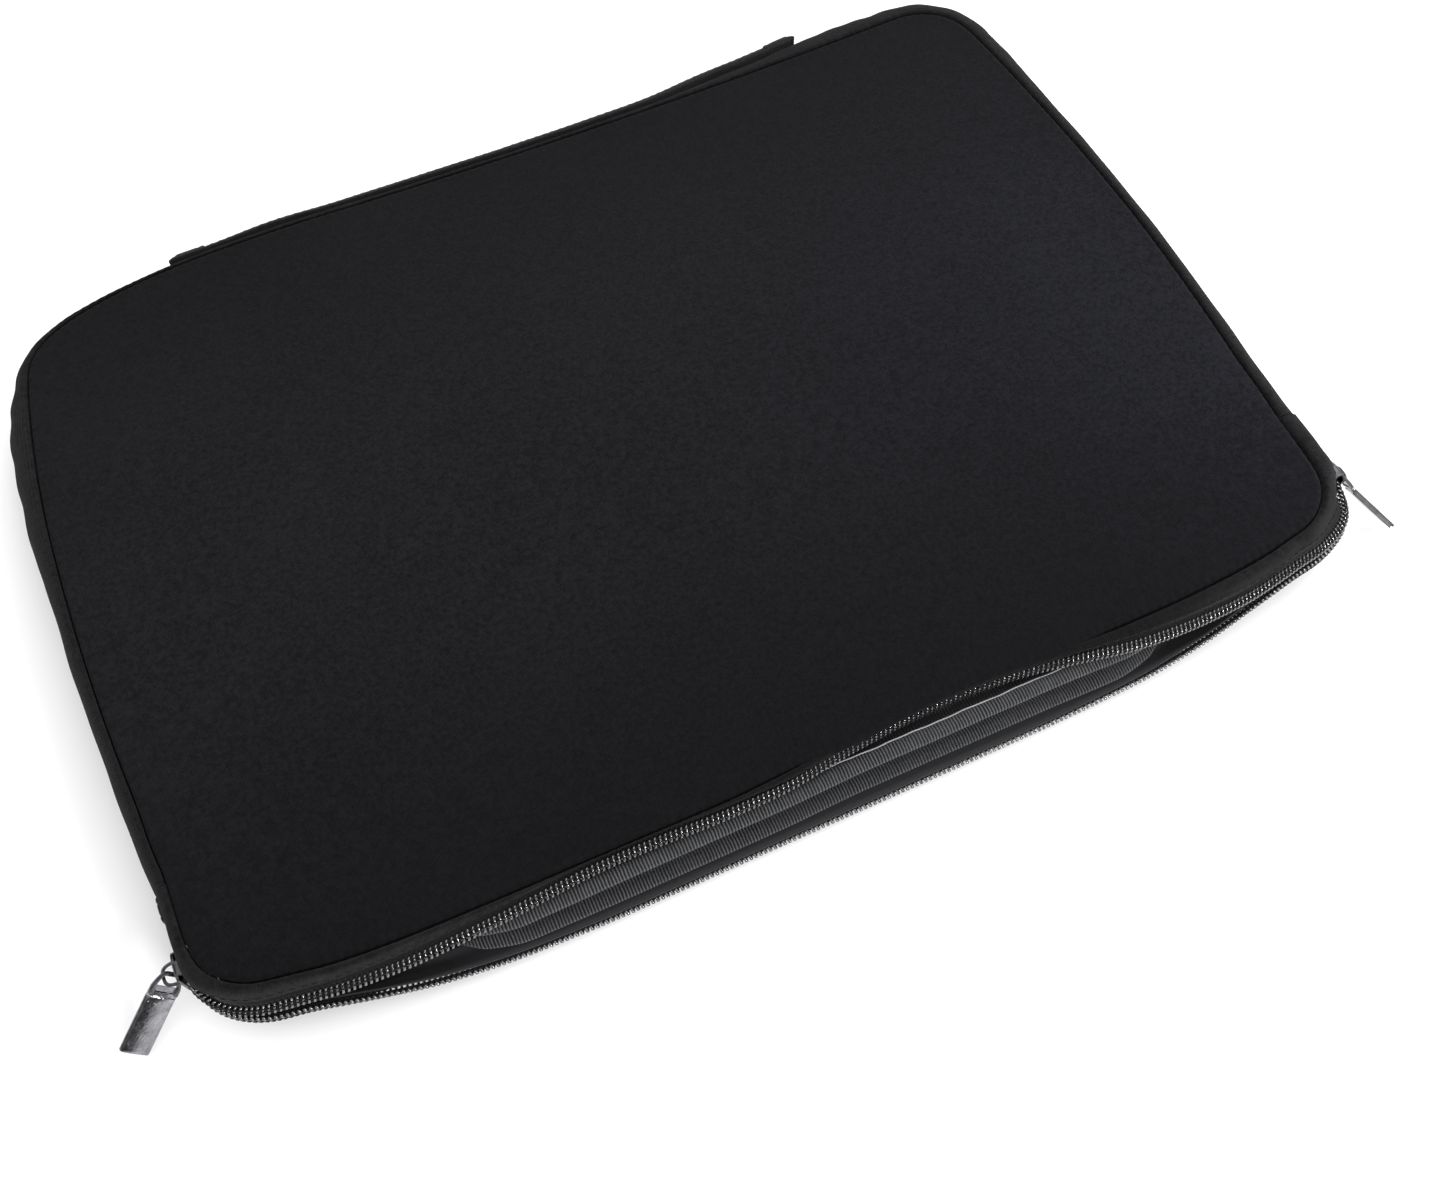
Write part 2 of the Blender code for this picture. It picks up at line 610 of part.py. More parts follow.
# ------------------------------------------------------------------------- zip
def build_mouth(fabric, tape, nylon, knit):
    loft("upper_mouth_strip", [s.strip() for s in UPPER], fabric)
    loft("lower_mouth_strip", [s.strip() for s in LOWER], fabric)
    loft("upper_zip_tape", [s.tape() for s in UPPER], tape)
    loft("lower_zip_tape", [s.tape() for s in LOWER], tape)
    for name, sts in (("upper_zip_coil", UPPER), ("lower_zip_coil", LOWER)):
        run = sts[1:-1]
        rings = []
        for i, s in enumerate(run):
            near_end = min(i, len(run) - 1 - i)
            shift = {0: 0.9, 1: 0.5}.get(near_end, 0.0)   # the coils close up at the zip's ends
            rings.append(s.coil_ring(shift))
        loft(name, rings, nylon, angle=60)

    # ribbed guard behind each coil, across the straight part of the mouth
    xs = np.linspace(-118.0, 118.0, 25)
    up_edge = table([-118, -108, -95, 95, 108, 118], [-133.0, -138.0, -140.6, -140.6, -138.0, -133.0])
    for name, upper in (("upper_zip_guard", True), ("lower_zip_guard", False)):
        secs = []
        for x in xs:
            y1 = up_edge(x) if upper else up_edge(x) - 0.6
            y0 = -117.0                       # tucked behind the lining's edge
            if upper:
                zt = min(22.7, up_z(x) - 2.2)
                zb = zt - GUARD_T
                ib = z_top(x, -120.0) - PANEL_T - LINING_T - GUARD_T - 1.0
                it = ib + GUARD_T
                if it < zt:
                    zt, zb = it, ib
            else:
                zb = max(4.6, 2 * ZIP_Z - lo_z(x) + 2.4)
                zt = zb + GUARD_T
                ib = PANEL_T + LINING_T + 0.8 + z_bot(x, -122.0)
                it = ib + GUARD_T
            zc = 0.5 * (zt + zb)
            secs.append([(x, y0, ib), (x, -127.0, 0.5 * (ib + zb)), (x, y1 + 0.7, zb), (x, y1, zc),
                         (x, y1 + 0.7, zt), (x, -127.0, 0.5 * (it + zt)), (x, y0, it)])
        loft(name, secs, knit)

    # sewn end tabs that close the zip at both sides
    for name, sx, xo in (("left_zip_end_tab", -1, ZL_C[0] - ZL_R - COIL_T / 2),
                         ("right_zip_end_tab", 1, ZR_C[0] + ZR_R + COIL_T / 2)):
        secs = []
        y0, y1 = STRIP_END_Y - 0.2, ZIP_END_Y + GAP + 0.2
        for k, y in enumerate(np.linspace(y0, y1, 5)):
            s = 0.35 if k in (0, 4) else 0.0
            n_in, n_out = -1.9, 1.5 - 2 * s
            h = 5.15 - s
            ring = [(n_in, -h), (n_out - 0.6, -h), (n_out, -h + 0.9), (n_out, h - 0.9), (n_out - 0.6, h), (n_in, h)]
            secs.append([(xo + sx * a, y, ZIP_Z + b) for a, b in ring])
        loft(name, secs, fabric)


# --------------------------------------------------------------------- sliders
def box_bm(bm, lo, hi):
    vs = [bm.verts.new((x, y, z)) for x in (lo[0], hi[0]) for y in (lo[1], hi[1]) for z in (lo[2], hi[2])]
    idx = [(0, 1, 3, 2), (4, 6, 7, 5), (0, 4, 5, 1), (2, 3, 7, 6), (0, 2, 6, 4), (1, 5, 7, 3)]
    for f in idx:
        bm.faces.new([vs[i] for i in f])


def helper(name, bm):
    """A shape that only cuts or joins another one."""
    bmesh.ops.recalc_face_normals(bm, faces=bm.faces)
    for v in bm.verts:
        v.co = v.co * MM
    me = bpy.data.meshes.new(name)
    bm.to_mesh(me)
    bm.free()
    ob = bpy.data.objects.new(name, me)
    bpy.context.scene.collection.objects.link(ob)
    ob.hide_render = True
    ob.display_type = "WIRE"
    return ob


def plate_profile(front, back, half):
    """Slider plate seen square on: wide at the throat, drawn in at the tail."""
    h = half
    return [(-front, -h * 0.86), (-front + 1.2, -h), (back - 3.2, -h), (back - 0.8, -h * 0.82), (back, -h * 0.62),
            (back, h * 0.62), (back - 0.8, h * 0.82), (back - 3.2, h), (-front + 1.2, h), (-front, h * 0.86)]


def extrude_n(bm, prof, n0, n1, put):
    a = [bm.verts.new(put(t, n0, z)) for t, z in prof]
    b = [bm.verts.new(put(t, n1, z)) for t, z in prof]
    k = len(prof)
    for i in range(k):
        j = (i + 1) % k
        bm.faces.new((a[i], a[j], b[j], b[i]))
    bm.faces.new(list(reversed(a)))
    bm.faces.new(b)


def build_slider(name, sx, face_x, y0, metal, parent):
    """Slider body: outer and inner plate joined by the wedge between the coils,
    flanges that hold the coils, and the bridge that carries the puller.
    t runs along the zip with the tail behind, n outwards, z up."""
    half = SLIDER_L / 2

    def put(t, n, z):                       # t > 0 is towards the zip's end
        return (face_x + sx * n, y0 + t, ZIP_Z + z)

    n_out0 = GAP
    n_out1 = GAP + PLATE_T
    tape_in = -(COIL_T + 2 * TAPE_GAP + TAPE_T)
    n_in1 = tape_in - 0.65
    n_in0 = n_in1 - PLATE_T
    n_fl = -(COIL_T + TAPE_GAP) + 0.35
    prof = plate_profile(half, half, SLIDER_HALF)

    bm = bmesh.new()
    extrude_n(bm, prof, n_out0, n_out1, put)
    parts = []
    b = bmesh.new()
    extrude_n(b, prof, n_in0, n_in1, put)
    parts.append(b)
    for s in (-1, 1):                       # flanges
        b = bmesh.new()
        z0, z1 = s * (SLIDER_HALF - 0.85), s * SLIDER_HALF
        lo, hi = min(z0, z1), max(z0, z1)
        ring = [(-half + 1.3, lo), (half - 3.4, lo), (half - 3.4, hi), (-half + 1.3, hi)]
        extrude_n(b, ring, n_fl, n_out1 - 0.2, put)
        parts.append(b)
    b = bmesh.new()                         # wedge
    ring = [(-half + 0.5, 0.0), (-half + 1.3, -0.78), (-half + 3.2, -0.78), (-half + 4.0, 0.0), (-half + 3.2, 0.78), (-half + 1.3, 0.78)]
    extrude_n(b, ring, n_in0 + 0.2, n_out1 - 0.2, put)
    parts.append(b)
    b = bmesh.new()                         # bridge: a wire arch over the outer plate
    steps = 10
    rt, rn = HOLE_T / 2, HOLE_N
    rings = []
    foot = n_out1 - 0.4
    path = [(-rt - WIRE / 2, foot)]
    for i in range(steps + 1):
        a = math.pi * (1 - i / steps)
        path.append((math.copysign(abs(math.cos(a)) ** 0.6, math.cos(a)) * (rt + WIRE / 2) if abs(math.cos(a)) > 1e-9 else 0.0,
                     n_out1 + 0.4 + math.sin(a) ** 0.75 * (rn - 0.4 + WIRE / 2)))
    path.append((rt + WIRE / 2, foot))
    pts = [np.array(p) for p in path]
    for i, p in enumerate(pts):
        q0 = pts[max(i - 1, 0)]
        q1 = pts[min(i + 1, len(pts) - 1)]
        d = (q1 - q0) / np.linalg.norm(q1 - q0)
        nn = np.array([-d[1], d[0]])
        ring = []
        for j in range(8):
            a = 2 * math.pi * j / 8
            e = p + nn * (WIRE / 2) * math.cos(a)
            ring.append(b.verts.new(put(e[0], e[1], (WIRE / 2) * math.sin(a))))
        rings.append(ring)
    for r0, r1 in zip(rings[:-1], rings[1:]):
        for j in range(8):
            k = (j + 1) % 8
            b.faces.new((r0[j], r0[k], r1[k], r1[j]))
    b.faces.new(list(reversed(rings[0])))
    b.faces.new(rings[-1])
    parts.append(b)

    ob = finish(name, bm, metal, 30, parent, (face_x, y0, ZIP_Z))
    for i, b in enumerate(parts):
        h = helper("%s_part_%d" % (name, i), b)
        mod = ob.modifiers.new("join_%d" % i, "BOOLEAN")
        mod.operation = "UNION"
        mod.solver = "EXACT"
        mod.object = h
    return ob


def unit(v):
    v = np.asarray(v, float)
    return v / np.linalg.norm(v)


def build_puller(name, hinge, reach_dir, roll, metal, parent):
    """Zip puller: a trapezoid window whose top bar hangs in the slider's
    bridge, a step, and a plain bar with a crowned face."""
    L = unit(reach_dir)
    flat = unit(np.cross(L, (0, 0, 1)))
    if flat[0] > 0:
        flat = -flat
    up = unit(np.cross(L, flat))
    if up[2] < 0:
        up = -up
    a = math.radians(roll)
    W = unit(flat * math.cos(a) + up * math.sin(a))
    N = unit(np.cross(L, W))
    if N[2] < 0:
        N = -N
    H = np.asarray(hinge, float)

    def put(l, w, n):
        return tuple(H + L * l + W * w + N * n)

    bm = bmesh.new()
    # window frame: outer and inner trapezoids with rounded tops
    bar = 0.55
    tw, bw = PULL_TOP_W / 2, PULL_W / 2
    wl = WINDOW_L

    def outer(l, w_extra=0.0):
        t = l / wl
        return tw + (bw - tw) * min(max(t, 0), 1) ** 0.8 + w_extra

    loop_o = [(-bar, -tw * 0.55), (-bar * 0.35, -tw * 0.92)]
    loop_i = [(bar, -tw * 0.62), (bar * 1.5, -tw * 0.80)]
    ks = (0.30, 0.65, 1.0)
    for k in ks:
        loop_o.append((wl * k, -outer(wl * k)))
        loop_i.append((bar + (wl - 0.9 - bar) * k, -outer(wl * k) + 0.72 + 0.68 * k))
    full_o = loop_o + [(l, -w) for l, w in reversed(loop_o)]
    full_i = loop_i + [(l, -w) for l, w in reversed(loop_i)]
    m = len(full_o)
    th = 0.48
    vo = [[bm.verts.new(put(l, w, s * th)) for l, w in full_o] for s in (-1, 1)]
    vi = [[bm.verts.new(put(l, w, s * th)) for l, w in full_i] for s in (-1, 1)]
    for i in range(m):
        j = (i + 1) % m
        bm.faces.new((vo[1][i], vo[1][j], vi[1][j], vi[1][i]))
        bm.faces.new((vo[0][i], vi[0][i], vi[0][j], vo[0][j]))
        bm.faces.new((vo[0][i], vo[0][j], vo[1][j], vo[1][i]))
        bm.faces.new((vi[0][i], vi[1][i], vi[1][j], vi[0][j]))
    # the solid bar: crowned on its outer face, flat end
    b = bmesh.new()
    secs = []
    h = PULL_T / 2
    for l, s, t in ((wl - 0.7, 1.0, 0.62), (wl + 0.5, 1.0, 0.68), (wl + 0.9, 1.0, 1.0),
                    (PULL_REACH - 0.5, 1.0, 1.0), (PULL_REACH, 0.95, 0.82)):
        w = bw * s
        ring = [(-w, -h * t * 0.7), (-w * 0.86, -h * t), (w * 0.86, -h * t), (w, -h * t * 0.7),
                (w, h * t * 0.35), (w * 0.82, h * t * 0.82), (w * 0.35, h * t), (-w * 0.35, h * t),
                (-w * 0.82, h * t * 0.82), (-w, h * t * 0.35)]
        secs.append([b.verts.new(put(l, x, y)) for x, y in ring])
    for r0, r1 in zip(secs[:-1], secs[1:]):
        for j in range(10):
            k = (j + 1) % 10
            b.faces.new((r0[j], r0[k], r1[k], r1[j]))
    b.faces.new(list(reversed(secs[0])))
    b.faces.new(secs[-1])
    ob = finish(name, bm, metal, 30, parent, tuple(hinge))
    hlp = helper(name + "_bar", b)
    mod = ob.modifiers.new("join_bar", "BOOLEAN")
    mod.operation = "UNION"
    mod.solver = "EXACT"
    mod.object = hlp
    return ob


def empty(name, at, parent=None):
    e = bpy.data.objects.new(name, None)
    e.empty_display_size = 0.01
    e.location = Vector(at) * MM
    bpy.context.scene.collection.objects.link(e)
    if parent is not None:
        e.parent = parent
        e.location = Vector(at) * MM - parent.location
    return e


def build_sliders(metal):
    hole = GAP + PLATE_T + HOLE_N / 2
    # each slider turns about its corner's centre, each puller about the
    # upright line through its bridge
    for nm, sx, c, r, reach, roll in (
            ("left", -1, ZL_C, ZL_R, (-17.6, -12.4, -11.2), 52.0),
            ("right", 1, ZR_C, ZR_R, (11.8, -18.7, -10.5), 67.0)):
        face_x = c[0] + sx * (r + COIL_T / 2)
        pivot = empty(nm + "_corner_axis", (c[0], c[1], 0.0))
        build_slider(nm + "_slider", sx, face_x, c[1], metal, pivot)
        build_puller(nm + "_puller", (face_x + sx * hole, c[1], ZIP_Z), reach, roll, metal, pivot)


# ---------------------------------------------------------------------- handle
def build_handle(fabric):
    def band(x, n0, n1, half, crown):
        """Section of a strap standing on its edge against the spine."""
        y = spine_y(x)
        z0 = 0.5 * (z_top(x, HALF_D) + EDGE_Z) - 0.6
        return [(x, y + n0, z0 - half + 0.5), (x, y + n0, z0 + half - 0.5), (x, y + n0 + 0.6, z0 + half),
                (x, y + n1 - 0.5, z0 + half), (x, y + n1 + crown * 0.6, z0 + half * 0.6), (x, y + n1 + crown, z0),
                (x, y + n1 + crown * 0.6, z0 - half * 0.6), (x, y + n1 - 0.5, z0 - half), (x, y + n0 + 0.6, z0 - half)]
    xa, xb = -HANDLE_L + TAB_L + GAP, HANDLE_R - TAB_L - GAP
    secs = []
    for i in range(23):
        x = xa + (xb - xa) * i / 22
        d = min(x - xa, xb - x)
        puff = 1.3 * math.sin(math.pi * min(d / 50.0, 1.0)) ** 2
        secs.append(band(x, 0.35 + puff, puff + STRAP_T - 0.1, STRAP_W / 2, 0.5))
    loft("handle_strap", secs, fabric)
    for nm, s, end in (("left_handle_tab", -1, HANDLE_L), ("right_handle_tab", 1, HANDLE_R)):
        secs = []
        xs = np.linspace(end - TAB_L, end, 6)
        for k, x in enumerate(xs):
            e = {5: 1.2, 4: 0.25}.get(k, 0.0)
            secs.append(band(s * x, 0.35, 3.6 - e, STRAP_W / 2 + 0.5 - 0.4 * e, 0.4))
        if s < 0:
            secs.reverse()
        loft(nm, secs, fabric)


# ------------------------------------------------------------------------ main
def main():
    start_scene()
    neoprene = material("neoprene", (0.0150, 0.0150, 0.0175), 0.85)
    lining = material("lining", (0.030, 0.031, 0.033), 0.95)
    tape = material("zip_tape", (0.016, 0.016, 0.018), 0.8)
    nylon = material("zip_coil", (0.030, 0.030, 0.033), 0.32)
    knit = material("edge_guard", (0.070, 0.070, 0.074), 0.95)
    metal = material("gunmetal", (0.030, 0.030, 0.034), 0.28, 0.7)
    build_panels(neoprene, lining)
    build_gusset(neoprene, knit)
    build_mouth(neoprene, tape, nylon, knit)
    build_sliders(metal)
    build_handle(neoprene)


main()
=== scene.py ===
# Looks of the neoprene laptop sleeve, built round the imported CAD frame.
#
# Frame: +X along the sleeve's width, the zipped mouth faces -Y, the spine and
# its strap face +Y, +Z up, origin on the underside.  Shapes are worked out in
# millimetres and written in metres.

import bpy
import bmesh
import math
import numpy as np
from mathutils import Vector, Matrix


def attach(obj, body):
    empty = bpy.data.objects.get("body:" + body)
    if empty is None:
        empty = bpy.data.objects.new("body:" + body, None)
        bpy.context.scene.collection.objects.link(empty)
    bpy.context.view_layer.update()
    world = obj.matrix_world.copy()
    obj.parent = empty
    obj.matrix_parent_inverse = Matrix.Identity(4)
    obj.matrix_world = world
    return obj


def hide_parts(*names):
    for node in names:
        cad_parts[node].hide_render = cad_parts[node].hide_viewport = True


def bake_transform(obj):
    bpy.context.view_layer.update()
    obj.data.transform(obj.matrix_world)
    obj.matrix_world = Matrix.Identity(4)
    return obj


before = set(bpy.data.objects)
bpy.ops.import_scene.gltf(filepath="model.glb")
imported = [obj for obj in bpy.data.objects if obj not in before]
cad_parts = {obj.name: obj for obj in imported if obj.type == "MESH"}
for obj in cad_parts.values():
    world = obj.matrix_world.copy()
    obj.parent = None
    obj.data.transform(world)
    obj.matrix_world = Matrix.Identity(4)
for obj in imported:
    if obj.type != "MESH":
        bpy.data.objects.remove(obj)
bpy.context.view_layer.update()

MM = 0.001

# ---------------------------------------------------- the sleeve's dimensions
# (the same values as in the CAD source)
GAP = 0.30
SEAM_GAP = 0.30
HALF_W, HALF_D = 180.0, 127.8
PANEL_T, EDGE_THIN, STRIP_T, LINING_T = 3.5, 1.5, 3.0, 0.9
TOP_Z, EDGE_Z, CROWN = 28.0, 2.4, 2.0
SINK_L, SINK_M, SINK_R = 2.2, 11.4, 5.9
R_NEAR, R_FAR_R = 18.0, 21.0
FAR_L_X, FAR_L_Y, FAR_L_E = 72.0, 31.0, 2.15
SINK_CORNER = 5.0
BULGE_L, BULGE_R = 6.0, 4.6
ZIP_Z = 15.2
COIL_W, COIL_T, COIL_HALF_GAP = 3.6, 2.0, 1.1
TAPE_T, TAPE_GAP = 0.5, 0.25
EDGE_GAP, EDGE_T = 1.5, 2.0
ZIP_END_Y, STRIP_END_Y, GUSSET_END_Y = -98.5, -90.3, -90.0
WIDE_R_END, WIDE_L_END = 191.7, -187.0
ZL_C, ZL_R = (-162.2, -111.3), 22.8
ZR_C, ZR_R = (167.0, -110.8), 22.9
LEVEL = 52.0
SLIDER_L, SLIDER_HALF, PLATE_T, GUARD_T = 9.0, 5.9, 0.9, 1.6
HOLE_N, HOLE_T, WIRE = 3.8, 5.2, 0.95
PULL_REACH, PULL_W, PULL_T, PULL_TOP_W, WINDOW_L = 24.5, 8.5, 1.8, 5.2, 7.6
HANDLE_L, HANDLE_R, TAB_L, STRAP_W, STRAP_T = 125.0, 121.0, 13.5, 14.0, 2.6

PITCH = 1.56               # of the nylon coil
STITCH = 3.1               # of the sewn seams


# ---------------------------------------------------------------- small maths
def smooth(t):
    t = np.clip(t, 0.0, 1.0)
    return t * t * (3.0 - 2.0 * t)


def table(xs, ys, n=1600):
    """Smooth curve through the given stations, read for any array."""
    xs = np.asarray(xs, float)
    ys = np.asarray(ys, float)
    d = np.diff(ys) / np.diff(xs)
    m = np.zeros_like(ys)
    for i in range(1, len(xs) - 1):
        if d[i - 1] * d[i] > 0:
            w1 = 2 * (xs[i + 1] - xs[i]) + (xs[i] - xs[i - 1])
            w2 = (xs[i + 1] - xs[i]) + 2 * (xs[i] - xs[i - 1])
            m[i] = (w1 + w2) / (w1 / d[i - 1] + w2 / d[i])
    q = np.linspace(xs[0], xs[-1], n)
    i = np.clip(np.searchsorted(xs, q) - 1, 0, len(xs) - 2)
    h = xs[i + 1] - xs[i]
    t = (q - xs[i]) / h
    v = ((2 * t**3 - 3 * t**2 + 1) * ys[i] + (t**3 - 2 * t**2 + t) * h * m[i]
         + (-2 * t**3 + 3 * t**2) * ys[i + 1] + (t**3 - t**2) * h * m[i + 1])
    return lambda x: np.interp(x, q, v)


def arc(c, r, a0, a1, n):
    a = np.radians(np.linspace(a0, a1, n + 1))
    return [np.array([c[0] + r * math.cos(t), c[1] + r * math.sin(t)]) for t in a]


def side(p, q, out, n, bow=0.0, lead=0.0, tail=0.0):
    p, q = np.array(p, float), np.array(q, float)
    pts = []
    for i in range(1, n):
        t = i / n
        u = min(max((t - lead) / (1 - lead - tail), 0.0), 1.0)
        b = bow * (1 - (2 * u - 1) ** 2) ** 0.8
        pts.append(p + (q - p) * t + np.array(out) * b)
    return pts


def run_of(pts, closed=False):
    p = np.asarray(pts, float)
    if closed:
        p = np.vstack([p, p[:1]])
    return np.concatenate([[0.0], np.cumsum(np.linalg.norm(np.diff(p, axis=0), axis=1))])


def even(poly, n):
    """A closed outline at n evenly spaced points."""
    s = run_of(poly, True)
    p = np.vstack([poly, poly[:1]])
    q = np.linspace(0, s[-1], n, endpoint=False)
    return np.stack([np.interp(q, s, p[:, k]) for k in (0, 1)], 1)


def path_normals(p, closed=False):
    """Outward normals of a counter-clockwise path."""
    if closed:
        t = np.roll(p, -1, 0) - np.roll(p, 1, 0)
    else:
        t = np.gradient(p, axis=0)
    t = t / np.linalg.norm(t, axis=1, keepdims=True)
    return np.stack([t[:, 1], -t[:, 0]], 1)


def unit(v):
    v = np.asarray(v, float)
    return v / np.maximum(np.linalg.norm(v, axis=-1, keepdims=True), 1e-12)


# ------------------------------------------------------------- panel outlines
near_y = table([-162, -156.5, -150, -143, -124, -99, -68, -33, 0, 39, 62, 81, 100, 119, 138, 150, 156.5, 162],
               [-127.8, -128.9, -130.1, -131.0, -132.2, -132.7, -133.0, -133.4, -131.8, -129.2,
                -130.0, -132.2, -132.6, -132.4, -131.3, -130.1, -128.9, -127.8])
near_lift = table([-162, -100, -60, -20, 39, 70, 100, 162], [0, 0, 0.4, 0.6, 1.4, 0.9, 0, 0])


def far_left(n):
    ax, ay, e = FAR_L_X, FAR_L_Y, 2.0 / FAR_L_E
    c = (-HALF_W + ax, HALF_D - ay)
    a = np.radians(90 + 90 * np.linspace(0, 1, n + 1))
    return [np.array([c[0] - ax * abs(math.cos(t)) ** e, c[1] + ay * abs(math.sin(t)) ** e]) for t in a]


def top_outline(na=40, ns=160, nn=460, nf=140):
    fr = (HALF_W - R_FAR_R, HALF_D - R_FAR_R)
    fl = (-HALF_W + FAR_L_X, HALF_D - FAR_L_Y)
    nl = (-HALF_W + R_NEAR, -HALF_D + R_NEAR)
    nr = (HALF_W - R_NEAR, -HALF_D + R_NEAR)
    p = []
    p += arc(fr, R_FAR_R, 0, 90, na)
    p += side((fr[0], HALF_D), (fl[0], HALF_D), (0, 1), ns)
    p += far_left(nf)
    p += side((-HALF_W, fl[1]), (-HALF_W, nl[1]), (-1, 0), ns, BULGE_L, 0.0, 0.11)
    p += arc(nl, R_NEAR, 180, 270, na)
    for i in range(1, nn):
        x = -162 + 324 * i / nn
        p.append(np.array([x, float(near_y(x))]))
    p += arc(nr, R_NEAR, 270, 360, na)
    p += side((HALF_W, nr[1]), (HALF_W, fr[1]), (1, 0), ns, BULGE_R, 0.11, 0.0)
    return np.array(p)


BEARING = [-31, -27, -15, 0, 15, 30, 38, 43, 47, 55, 70, 90, 110, 125, 135, 147, 153, 158, 164, 172, 180,
           195, 202, 211]
bulge = table(BEARING, [9.6, 9.6, 9.0, 8.4, 8.6, 10.0, 11.0, 11.4, 10.4, 7.2, 4.2, 3.8, 4.0, 4.0, 3.4, 5.2, 8.0,
                        9.6, 9.0, 7.6, 6.4, 6.0, 6.0, 5.4])
under = table(BEARING, [0.0, 0.0, 1.0, 2.5, 4.5, 7.5, 8.6, 8.6, 7.6, 5.0, 2.8, 2.2, 2.2, 1.8, 1.2, 1.0, 0.8,
                        0.6, 0.4, 0.2, 0.0, 0.0, 0.0, 0.0])


def bearing(p):
    a = np.degrees(np.arctan2(p[..., 1], p[..., 0]))
    return np.where(a < -32.0, a + 360.0, a)


def blur_loop(p, sigma):
    """A closed path with its kinks rounded; sigma in points."""
    f = np.fft.fftfreq(len(p))
    k = np.exp(-2 * (np.pi * f * sigma) ** 2)
    return np.stack([np.fft.ifft(np.fft.fft(p[:, c]) * k).real for c in range(p.shape[1])], 1)


def blur_path(p, sigma):
    """An open path with its kinks rounded, its ends kept."""
    p = np.asarray(p, float)
    if p.ndim == 1:
        return blur_path(p[:, None], sigma)[:, 0]
    m = int(4 * sigma)
    k = np.exp(-0.5 * (np.arange(-m, m + 1) / sigma) ** 2)
    k /= k.sum()
    a = 2 * p[0] - p[m:0:-1]
    b = 2 * p[-1] - p[-2:-m - 2:-1]
    q = np.vstack([a, p, b])
    return np.stack([np.convolve(q[:, c], k, "valid") for c in range(p.shape[1])], 1)


N_RIM = 2304
TOP = blur_loop(even(top_outline(), N_RIM), 6.5)
TOP[:, 0] += np.sign(TOP[:, 0]) * 1.2 * smooth((-TOP[:, 1] - 62.0) / 24.0) * smooth((TOP[:, 1] + 127.0) / 13.0) * (np.abs(TOP[:, 0]) > 150)
TOP = blur_loop(TOP, 3.0)
TOP_N = path_normals(TOP, True)


def bottom_outline():
    out = TOP.copy()
    w = under(bearing(TOP)) * smooth((TOP[:, 1] + 100.0) / 20.0)
    back = TOP[:, 1] > -109.0
    out[back] += TOP_N[back] * w[back, None]
    front = (~back) & (np.abs(TOP[:, 0]) < 162.0 - 1e-6)
    u = TOP[front, 0] / 162.0
    out[front, 1] = -HALF_D - 5.2 * (1 - u * u) ** 1.25
    return blur_loop(out, 5.0)


BOT = bottom_outline()
BOT_N = path_normals(BOT, True)
TOP_S, BOT_S = run_of(TOP, True), run_of(BOT, True)
_a = np.arctan2(BOT[:, 1], BOT[:, 0])
_o = np.argsort(_a)
_ang = np.concatenate([_a[_o][-1:] - 2 * math.pi, _a[_o], _a[_o][:1] + 2 * math.pi])
_r = np.hypot(BOT[:, 0], BOT[:, 1])[_o]
_rad = np.concatenate([_r[-1:], _r, _r[:1]])


def bot_frac(x, y):
    return np.hypot(x, y) / np.interp(np.arctan2(y, x), _ang, _rad)


def z_top(x, y):
    crown = CROWN * np.maximum(0.0, 1 - (x / 186.0) ** 2) * np.maximum(0.0, 1 - (y / 134.0) ** 2)
    s = smooth((y + 20.0) / (HALF_D + 20.0))
    u = np.clip(x / HALF_W, -1.0, 1.0)
    sink = SINK_L * u * (u - 1) / 2 + SINK_M * (1 - u * u) + SINK_R * u * (u + 1) / 2
    lift = near_lift(x) * smooth((-y - 70.0) / 58.0)
    slack = SINK_CORNER * smooth((-x - 70.0) / 90.0) * smooth((y - 30.0) / 80.0)
    return TOP_Z + crown - s * sink + lift - slack


def edge_z(x, y):
    w = smooth((150.0 - np.abs(x)) / 45.0) * smooth((-y - 100.0) / 20.0)
    return np.where(y > -100, EDGE_Z, EDGE_Z + (0.75 - EDGE_Z) * w)


def z_bot(x, y):
    f = bot_frac(x, y)
    return np.where(f > 0.88, edge_z(x, y) * smooth((f - 0.88) / 0.24) * 2.0, 0.0)


def ray(p, d, poly, s):
    """Distance from p along d to the closed outline, and the run along it there."""
    a = poly
    e = np.roll(poly, -1, 0) - a
    det = d[0] * (-e[:, 1]) + e[:, 0] * d[1]
    w = a - p
    with np.errstate(divide="ignore", invalid="ignore"):
        t = (w[:, 0] * (-e[:, 1]) + e[:, 0] * w[:, 1]) / det
        u = (d[0] * w[:, 1] - d[1] * w[:, 0]) / det
    ok = (np.abs(det) > 1e-12) & (u >= -1e-9) & (u <= 1 + 1e-9) & (t > -1e-6)
    t = np.where(ok, t, 1e9)
    i = int(np.argmin(t))
    return t[i], s[i] + u[i] * (s[i + 1] - s[i])


# ---------------------------------------------------------------- zip stations
UX = [-162.2, -152, -143, -124, -99, -68, -33, 0, 39, 62, 81, 100, 119, 138, 150, 160, 167]
up_z = table(UX, [17.6, 18.4, 19.2, 21.2, 23.0, 24.0, 24.2, 24.0, 23.8, 24.0, 24.2, 23.4, 21.6, 19.4, 18.4, 17.8, 17.4])
up_a = table(UX, [126, 130, 132, 138, 142, 142, 138, 124, 108, 114, 134, 142, 138, 130, 126, 122, 120])
up_gap = table(UX, [1.5, 1.5, 1.5, 1.3, 0.9, 0.4, 0.2, -0.3, -0.7, -0.6, 0.0, 0.9, 1.3, 1.5, 1.5, 1.5, 1.5])
up_th = table(UX, [3.0, 3.0, 3.0, 3.0, 2.6, 2.0, 2.0, 2.4, 2.8, 2.8, 2.5, 2.8, 3.0, 3.0, 3.0, 3.0, 3.0])
